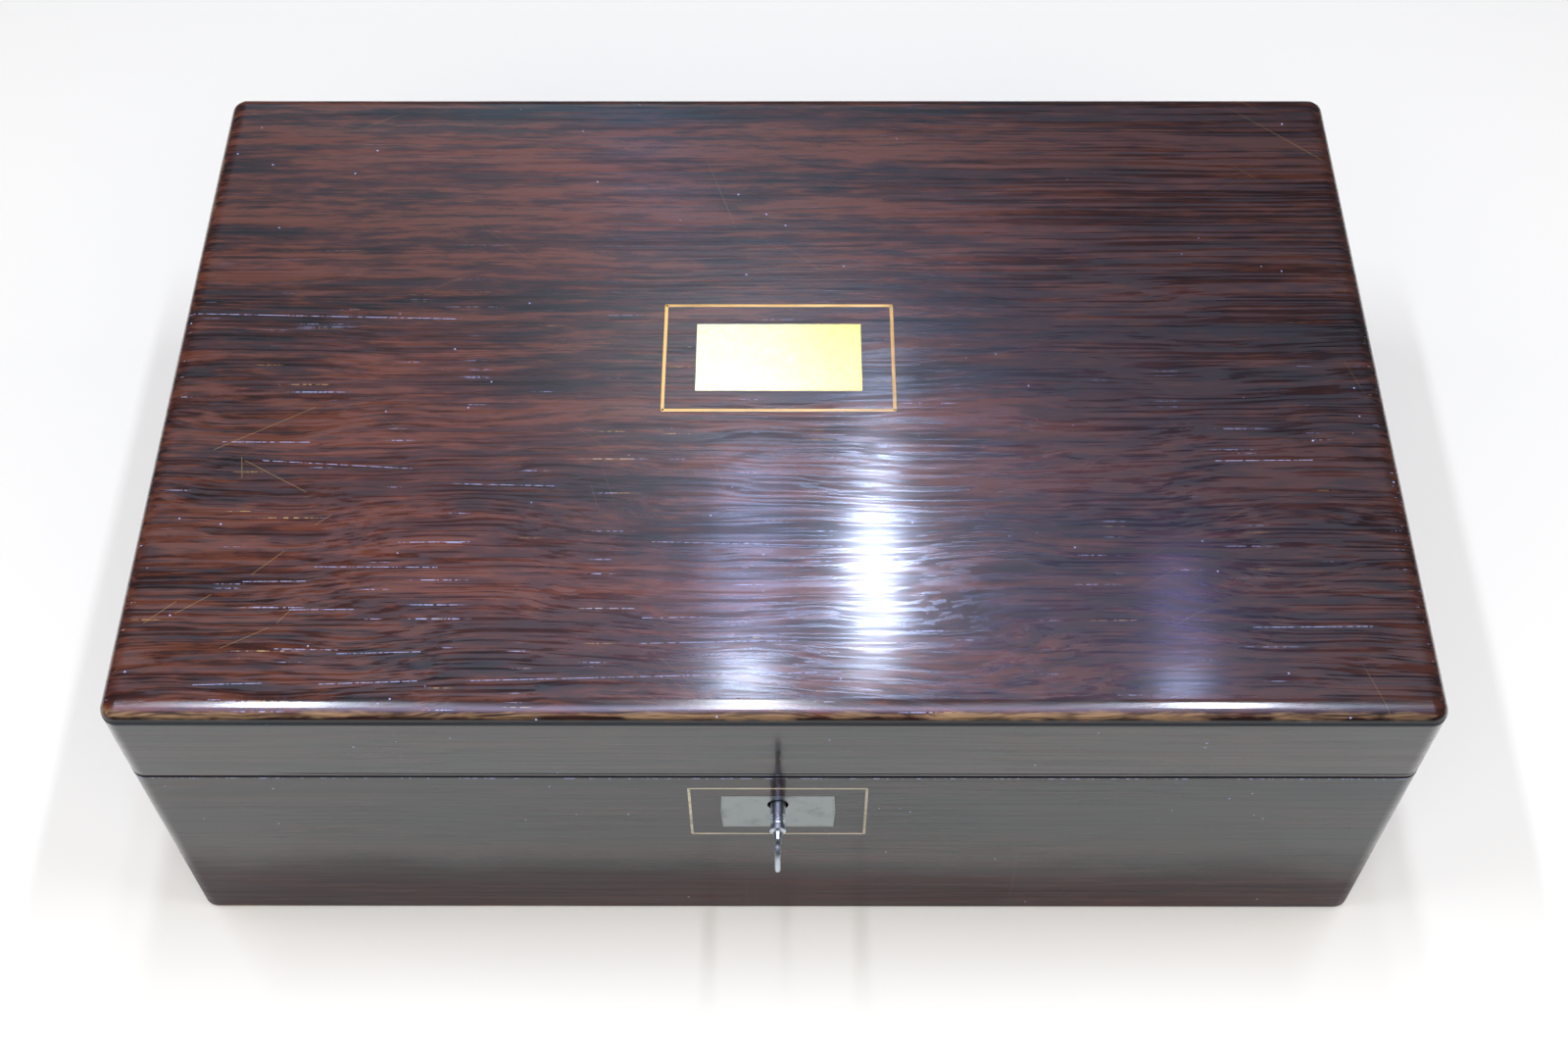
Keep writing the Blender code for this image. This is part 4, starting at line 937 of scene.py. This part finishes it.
def caseShell(name, isLid, cutters):
    # A box cut at the joint, rounded and carved; faces that get no slot below keep the outer finish
    size, near = caseShape, 1e-5
    shape = boxShape((-halfWidth, -halfDepth, 0), (halfWidth, halfDepth, boxHeight))
    sign = 1 if isLid else -1
    spot = hingePlace + outward * (sign * halfGap)
    cut = bmesh.ops.bisect_plane(
        shape,
        geom=shape.verts[:] + shape.edges[:] + shape.faces[:],
        plane_co=spot,
        plane_no=outward * sign,
        clear_inner=True,
    )
    rim = [item for item in cut["geom_cut"] if isinstance(item, bmesh.types.BMEdge)]
    bmesh.ops.holes_fill(shape, edges=rim)
    bmesh.ops.recalc_face_normals(shape, faces=shape.faces)
    upright = [e for e in shape.edges if abs((e.verts[0].co - e.verts[1].co).normalized().z) > 0.99]
    bevelEdges(shape, upright, size["cornerRound"], size["roundSteps"])
    if isLid:
        roundTop(shape)
    else:
        ring = [e for e in shape.edges if all(abs(v.co.z) < near for v in e.verts)]
        bevelEdges(shape, ring, size["footRound"], size["lipSteps"])
    onLip = {v for v in shape.verts if abs((v.co - spot).dot(outward)) < near}
    lip = [e for e in shape.edges if all(v in onLip for v in e.verts)]
    bevelEdges(shape, lip, size["lipRound"], size["lipSteps"])
    shape = carve(name, shape, cutters)
    shape.normal_update()
    for face in shape.faces:
        middle = face.calc_center_median()
        onSide = abs(middle.x) > innerX and abs(middle.y) < innerY
        inside = abs(middle.x) < innerX + 1e-4 and abs(middle.y) < innerY + 1e-4
        if inside and face.normal.z < 0.9:
            face.material_index = innerSlot
        elif abs(face.normal.dot(outward)) > 0.999 and abs((middle - spot).dot(outward)) < 1e-3:
            face.material_index = sideRimSlot if onSide else rimSlot
        elif abs(face.normal.x) > 0.71:
            face.material_index = sideSlot
        elif isLid and face.normal.z < 0.71:
            face.material_index = frontSlot
    return shape


def roomFor(*names):
    play = Vector([caseShape["recessPlay"]] * 3)
    shapes = []
    for name in names:
        low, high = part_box(name)
        shapes.append(boxShape(low - play, high + play))
    return shapes


def keyholeCutters():
    size = keyholeShape
    place = Matrix.Translation(keyPlace + axisY * size["inward"]) @ Matrix.Rotation(math.pi / 2, 4, "X")
    hole = rodShape(place, size["radius"], size["depth"], size["segments"])
    half, (front, back) = size["slotHalf"], size["slotReach"]
    low, high = Vector((-half, front, -size["slotDrop"])), Vector((half, back, 0))
    return [hole, boxShape(keyPlace + low, keyPlace + high)]


leaves = ["hinge_" + side + "_" + part + "_leaf" for side in ("left", "right") for part in ("base", "lid")]
beyond = caseShape["cutBeyond"]
lidHollow = boxShape((-innerX, -innerY, beyond), (innerX, innerY, topLow.z))
baseHollow = boxShape((-innerX, -innerY, -beyond), (innerX, innerY, boxHeight + beyond))
caseWalls = ["_front_wall", "_back_wall", "_left_wall", "_right_wall"]

lidShape = caseShell("lid", True, [lidHollow, *roomFor(*leaves, "lock_hooks")])
makePiece(
    "lidCase",
    lidShape,
    [looks[finish] for finish in ("lidTop", "lidSide", "mahogany", "border", "lidFace", "borderSide")],
    "lid",
    ["lid_top_board", *("lid" + name for name in caseWalls)],
)
baseCutters = [baseHollow, *roomFor(*leaves, "lock_case"), *keyholeCutters()]
baseShape = caseShell("base", False, baseCutters)
makePiece(
    "baseCase",
    baseShape,
    [looks[finish] for finish in ("baseFace", "baseSide", "mahogany", "border", "border", "borderSide")],
    "base",
    ["base" + name for name in caseWalls],
)
print("Case built")

# Inlay
inlayShape = {"proud": 0.00004, "edge": 0.00010}


def inlayPiece(node, finish, facing):
    # The node's box, standing a little proud the way it faces
    low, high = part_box(node)
    lift = facing * inlayShape["proud"]
    lower, higher = (Vector([pick(part, 0) for part in lift]) for pick in (min, max))
    shape = boxShape(low + lower, high + higher)
    easeEdges(shape, inlayShape["edge"])
    name = node.replace("_", " ").title().replace(" ", "") + "Inlay"
    return makePiece(name, shape, [looks[finish]], nodes[node]["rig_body"], [node])


inlayPiece("lid_plate", "lidPlate", axisZ)
for name in lidStrings:
    across = name.endswith(("left", "right"))
    inlayPiece(name, "boxwoodSide" if across else "boxwood", axisZ)
for name in frontStrings:
    inlayPiece(name, "frontString", -axisY)


# Screws, slotted and flush with their plates. The outline is in shares of radius and depth, and turns gives
# the slot's angle in degrees: of the first, more per screw, and more per letter of the node's name
screwShape = {
    "outline": ((0, 0), (0.80, 0), (0.97, -0.14), (1.0, -0.30), (0.80, -1.0), (0, -1.0)),
    "hinge": 0.00150,
    "small": 0.00105,
    "deep": 0.00042,
    "slotWide": 0.00034,
    "slotDeep": 0.00026,
    "play": 0.00007,
    "steps": 28,
    "hingeInward": 0.0058,
    "hingeSpread": 0.0145,
    "flapDrop": 0.0056,
    "flapSpread": 0.0080,
    "lockInset": 0.0030,
    "flapLeafThick": 0.0007,
    "turns": (23, 67, 31),
}


def facingTurn(facing, turned):
    # Turns a shape that was built along +Z about that axis, then to face the given way
    turn = facing.to_track_quat("Z", "X").to_matrix().to_4x4()
    return turn @ Matrix.Rotation(turned, 4, "Z")


def screwRecess(spot, facing, radius):
    size = screwShape
    place = Matrix.Translation(spot) @ facingTurn(facing, 0)
    return rodShape(place, radius + size["play"], size["deep"] * 2, size["steps"])


def screwHead(spot, facing, radius, turned):
    size = screwShape
    shape = bmesh.new()
    verts = [shape.verts.new((across * radius, 0, fall * size["deep"])) for across, fall in size["outline"]]
    edges = [shape.edges.new(pair) for pair in zip(verts, verts[1:])]
    bmesh.ops.spin(
        shape,
        geom=verts + edges,
        axis=axisZ,
        cent=(0, 0, 0),
        angle=math.tau,
        steps=size["steps"],
        use_merge=True,
    )
    bmesh.ops.remove_doubles(shape, verts=shape.verts, dist=weldCut)
    bmesh.ops.recalc_face_normals(shape, faces=shape.faces)
    half = size["slotWide"] / 2
    slot = boxShape((-radius * 2, -half, -size["slotDeep"]), (radius * 2, half, size["deep"]))
    shape = carve("screw", shape, [slot])
    place = Matrix.Translation(spot) @ facingTurn(facing, turned)
    bmesh.ops.transform(shape, matrix=place, verts=shape.verts)
    return shape


def screwSpots(node):
    # Middle of each screw's face, the way it faces and its radius, for the plates that are screwed down
    size, spots = screwShape, []
    low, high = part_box(node)
    middle = (low.x + high.x) / 2
    if node.startswith("hinge"):
        sign = 1 if "_lid_" in node else -1
        level = hingePlace + inward * size["hingeInward"] + outward * (sign * halfGap)
        for offset in (-size["hingeSpread"], 0, size["hingeSpread"]):
            spots.append((Vector((middle + offset, level.y, level.z)), outward * -sign, size["hinge"]))
    elif "fixed_leaf" in node:
        down = node.startswith("base")
        height = high.z - size["flapDrop"] if down else low.z + size["flapDrop"]
        face = max(vert.co.y for vert in nodes[node].data.vertices) - size["flapLeafThick"]
        for offset in (-size["flapSpread"], size["flapSpread"]):
            spots.append((Vector((middle + offset, face, height)), -axisY, size["small"]))
    elif node == "lock_case":
        along = (hingePlace.y - (low.y + high.y) / 2) / math.cos(slope)
        level = hingePlace + inward * along + outward * max(liftsOf(node))
        for x in (low.x + size["lockInset"], high.x - size["lockInset"]):
            spots.append((Vector((x, level.y, level.z)), outward, size["small"]))
    return spots


# Dressed copies of the CAD nodes
eased = {
    "plate": 0.00008,
    "divider": 0.0006,
    "board": 0.0005,
    "ledger": 0.0006,
    "flap": 0.0006,
    "hinge": 0.00012,
    "flapLeaf": 0.0001,
    "hide": 0.0002,
    "lock": 0.00012,
    "bolt": 0.0001,
    "key": 0.00008,
    "bottle": 0.0003,
    "cap": 0.0002,
}


def dress(node, finish, edge, bend=40, lift=(0, 0, 0)):
    shape = mergedCopy(node)
    bmesh.ops.translate(shape, vec=lift, verts=shape.verts)
    easeEdges(shape, eased[edge])
    spots = screwSpots(node)
    if spots:
        shape = carve(node, shape, [screwRecess(*spot) for spot in spots])
        shape.normal_update()
    first, perScrew, perLetter = screwShape["turns"]
    for number, (spot, facing, radius) in enumerate(spots):
        turned = math.radians(first + perScrew * number + perLetter * len(node))
        head = screwHead(spot, facing, radius, turned)
        makePiece(node + "Screw" + str(number), head, [looks["capBrass"]], nodes[node]["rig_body"])
    words = node.split("_")
    name = words[0] + "".join(word.capitalize() for word in words[1:]) + "Finished"
    return makePiece(name, shape, [looks[finish]], nodes[node]["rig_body"], [node], bend)


dress("escutcheon_plate", "frontPlate", "plate", 25, lift=(0, -inlayShape["proud"], 0))
sides = ("left", "right")
for name in ("divider_left", "divider_right"):
    dress(name, "mahoganySide", "divider")
boards = ("divider_long", "ink_floor_left", "ink_floor_right", "pen_tray", "lid_ledger_front", "base_bottom")
for name in boards:
    dress(name, "mahogany", "board")
for name in ("base_ledger_left", "base_ledger_right", "lid_ledger_left", "lid_ledger_right"):
    dress(name, "mahoganySide", "ledger")
for name in leaves:
    dress(name, "brass", "hinge", 38)
for flap in ("base_flap", "lid_flap"):
    dress(flap + "_board", "border", "flap")
    middle, half = rectangleOf(flap + "_leather")
    looks["hide"] = leather("leather " + flap.replace("_", " "), middle, (half.x, half.y, 1))
    dress(flap + "_leather", "hide", "hide")
    for side in sides:
        dress(flap + "_leaf_" + side, "brass", "flapLeaf", 38)
        dress(flap + "_fixed_leaf_" + side, "brass", "flapLeaf", 38)
for name in ("lock_case", "lock_hooks"):
    dress(name, "brass", "lock")
dress("lock_bolt", "lockSteel", "bolt")
dress("key", "steel", "key", 45)
for side in sides:
    dress("inkwell_" + side, "glass", "bottle")
    dress("inkwell_" + side + "_cap", "capBrass", "cap")
print("Fittings dressed")

# Floor, lights and camera
floorLook = {"half": 9, "rough": 0.75, "colour": (0.778, 0.750, 0.703)}
floorShape = bmesh.new()
bmesh.ops.create_grid(floorShape, x_segments=2, y_segments=2, size=floorLook["half"])
floorPiece = addShape("floor", floorShape)
floorFinish = newMaterial("pale floor", Roughness=floorLook["rough"], Base_Color=floorLook["colour"])[0]
floorPiece.data.materials.append(floorFinish)

# Each lamp: centre, what it faces, width, length, watts and colour; all but softboxFront lie along Y
lamps = {
    "softboxLeft": ((-1.45, -0.20, 0.95), (0, 0, 0.05), 1.0, 1.1, 7.0, (1.0, 0.975, 0.94)),
    "softboxRight": ((1.45, -0.20, 0.95), (0, 0, 0.05), 1.0, 1.1, 7.0, (1.0, 0.975, 0.94)),
    "softboxFront": ((0, -1.12, 1.12), (0, -0.40, 0.0), 0.8, 2.0, 15.0, (1.0, 0.98, 0.955)),
    "tubeMiddle": ((0.095, 0.727, 1.386), (0.0310, -0.080, 0.136), 0.036, 0.112, 1.5, (0.62, 0.72, 1.0)),
    "tubeTaper": ((0.099, 0.835, 1.386), (0.0320, -0.045, 0.136), 0.036, 0.105, 0.40, (0.62, 0.72, 1.0)),
    "tubeBack": ((0.101, 0.960, 1.386), (0.0330, -0.015, 0.136), 0.050, 0.14, 0.14, (0.62, 0.72, 1.0)),
    "spotMiddle": ((0.087, 0.628, 1.386), (0.0288, -0.112, 0.136), 0.034, 0.016, 0.16, (0.66, 0.76, 1.0)),
    "spotNear": ((-0.040, 0.611, 1.386), (-0.009, -0.116, 0.136), 0.046, 0.018, 0.24, (0.66, 0.78, 1.0)),
    "tubeNear": ((-0.038, 0.740, 1.386), (-0.0072, -0.08, 0.136), 0.070, 0.24, 0.34, (0.50, 0.58, 1.0)),
    "tubeRight": ((0.410, 0.665, 1.386), (0.123, -0.099, 0.136), 0.050, 0.16, 0.11, (0.46, 0.42, 1.0)),
    "spotRight": ((0.402, 0.600, 1.386), (0.121, -0.119, 0.136), 0.040, 0.020, 0.07, (0.60, 0.70, 1.0)),
    "panelNear": ((-0.034, -0.02, 1.386), (0, -0.10, 0.13), 0.066, 0.96, 5.6, (0.86, 0.91, 1.0)),
    "panelLeft": ((-0.470, -0.02, 1.386), (-0.10, -0.10, 0.13), 0.046, 0.54, 6.9, (0.84, 0.90, 1.0)),
    "panelRight": ((0.400, -0.02, 1.386), (0.10, -0.10, 0.13), 0.046, 0.54, 6.9, (0.84, 0.90, 1.0)),
}
for name, (place, target, wide, length, watts, colour) in lamps.items():
    light = bpy.data.lights.new(name, "AREA")
    light.shape = "RECTANGLE"
    light.size, light.size_y = wide, length
    light.energy = watts
    light.color = colour
    lamp = addObject(name, light)
    back = (Vector(place) - Vector(target)).normalized()
    side = (axisX if name == "softboxFront" else axisY).cross(back).normalized()
    turn = Matrix((side, back.cross(side), back)).transposed()
    lamp.matrix_world = Matrix.Translation(place) @ turn.to_4x4()
    lamp.visible_glossy = not name.startswith("softbox")

# The room: pale where the camera sees it past the floor, dim with tinted glows where the polish mirrors it
# Each glow: direction, tightness, colour and strength
world = bpy.data.worlds.new("room")
world.use_nodes = True
bpy.context.scene.world = world
opened["tree"] = world.node_tree
heading = newNode("TexCoord").outputs["Generated"]
glows = (
    ((0.043, 0.545, 0.838), 150, (0.30, 0.34, 0.80), 0.7),
    ((0.191, 0.515, 0.835), 420, (0.28, 0.30, 0.70), 0.4),
    ((-0.13, 0.79, 0.60), 70, (0.50, 0.80, 1.0), 1.40),
    ((-0.075, 0.708, 0.702), 3500, (0.34, 0.30, 0.85), 0.95),
    ((-0.058, 0.685, 0.725), 3500, (0.34, 0.30, 0.85), 0.75),
    ((-0.007, 0.661, 0.750), 2600, (0.45, 0.55, 1.0), 0.45),
    ((0.070, 0.641, 0.764), 1200, (0.45, 0.55, 1.0), 0.40),
    ((0.085, 0.518, 0.851), 900, (0.40, 0.40, 1.0), 0.30),
    ((-0.048, 0.622, 0.781), 500, (1.0, 1.0, 1.0), 1.6),
    ((0.000, 0.636, 0.772), 900, (1.0, 1.0, 1.0), 0.7),
    ((-0.05, -0.26, 0.96), 22, (0.76, 0.68, 1.0), 4.6),
)
roomLook = {"seen": (0.86, 0.85, 0.83), "around": (0.07, 0.07, 0.07), "mirrored": (0.050, 0.047, 0.050)}
sky = roomLook["mirrored"]
for direction, tightness, colour, strength in glows:
    level = dot(heading, Vector(direction).normalized())
    level = calc("POWER", larger(level, 0.0), float(tightness))
    sky = mixColour(level, sky, tuple(part * strength for part in colour), "ADD")
rays = newNode("LightPath").outputs
around = mixColour(rays["Is Glossy Ray"], roomLook["around"], sky)
seen = mixColour(rays["Is Camera Ray"], around, roomLook["seen"])
join(world.node_tree.nodes["Background"].inputs, Color=seen)

cameraFit = {
    "place": (0.0046, -0.4171, 0.6525),
    "pitch": math.radians(55.40),
    "yaw": math.radians(-0.26),
    "roll": math.radians(-0.18),
    "lens": 46.0,
}
cameraData = bpy.data.cameras.new("camera")
cameraData.lens = cameraFit["lens"]
cameraData.sensor_width = 36
cameraData.clip_start = 0.01
camera = addObject("camera", cameraData)
pitch, yaw, roll = cameraFit["pitch"], cameraFit["yaw"], cameraFit["roll"]
forward = Vector((math.sin(yaw) * math.cos(pitch), math.cos(yaw) * math.cos(pitch), -math.sin(pitch)))
right = Vector((math.cos(yaw), -math.sin(yaw), 0))
above = right.cross(forward)
tiltedRight = right * math.cos(roll) + above * math.sin(roll)
tiltedUp = above * math.cos(roll) - right * math.sin(roll)
turn = Matrix((tiltedRight, tiltedUp, -forward)).transposed()
camera.matrix_world = Matrix.Translation(cameraFit["place"]) @ turn.to_4x4()
bpy.context.scene.camera = camera
bpy.context.scene.view_settings.view_transform = "Standard"
print("Lights and camera placed")
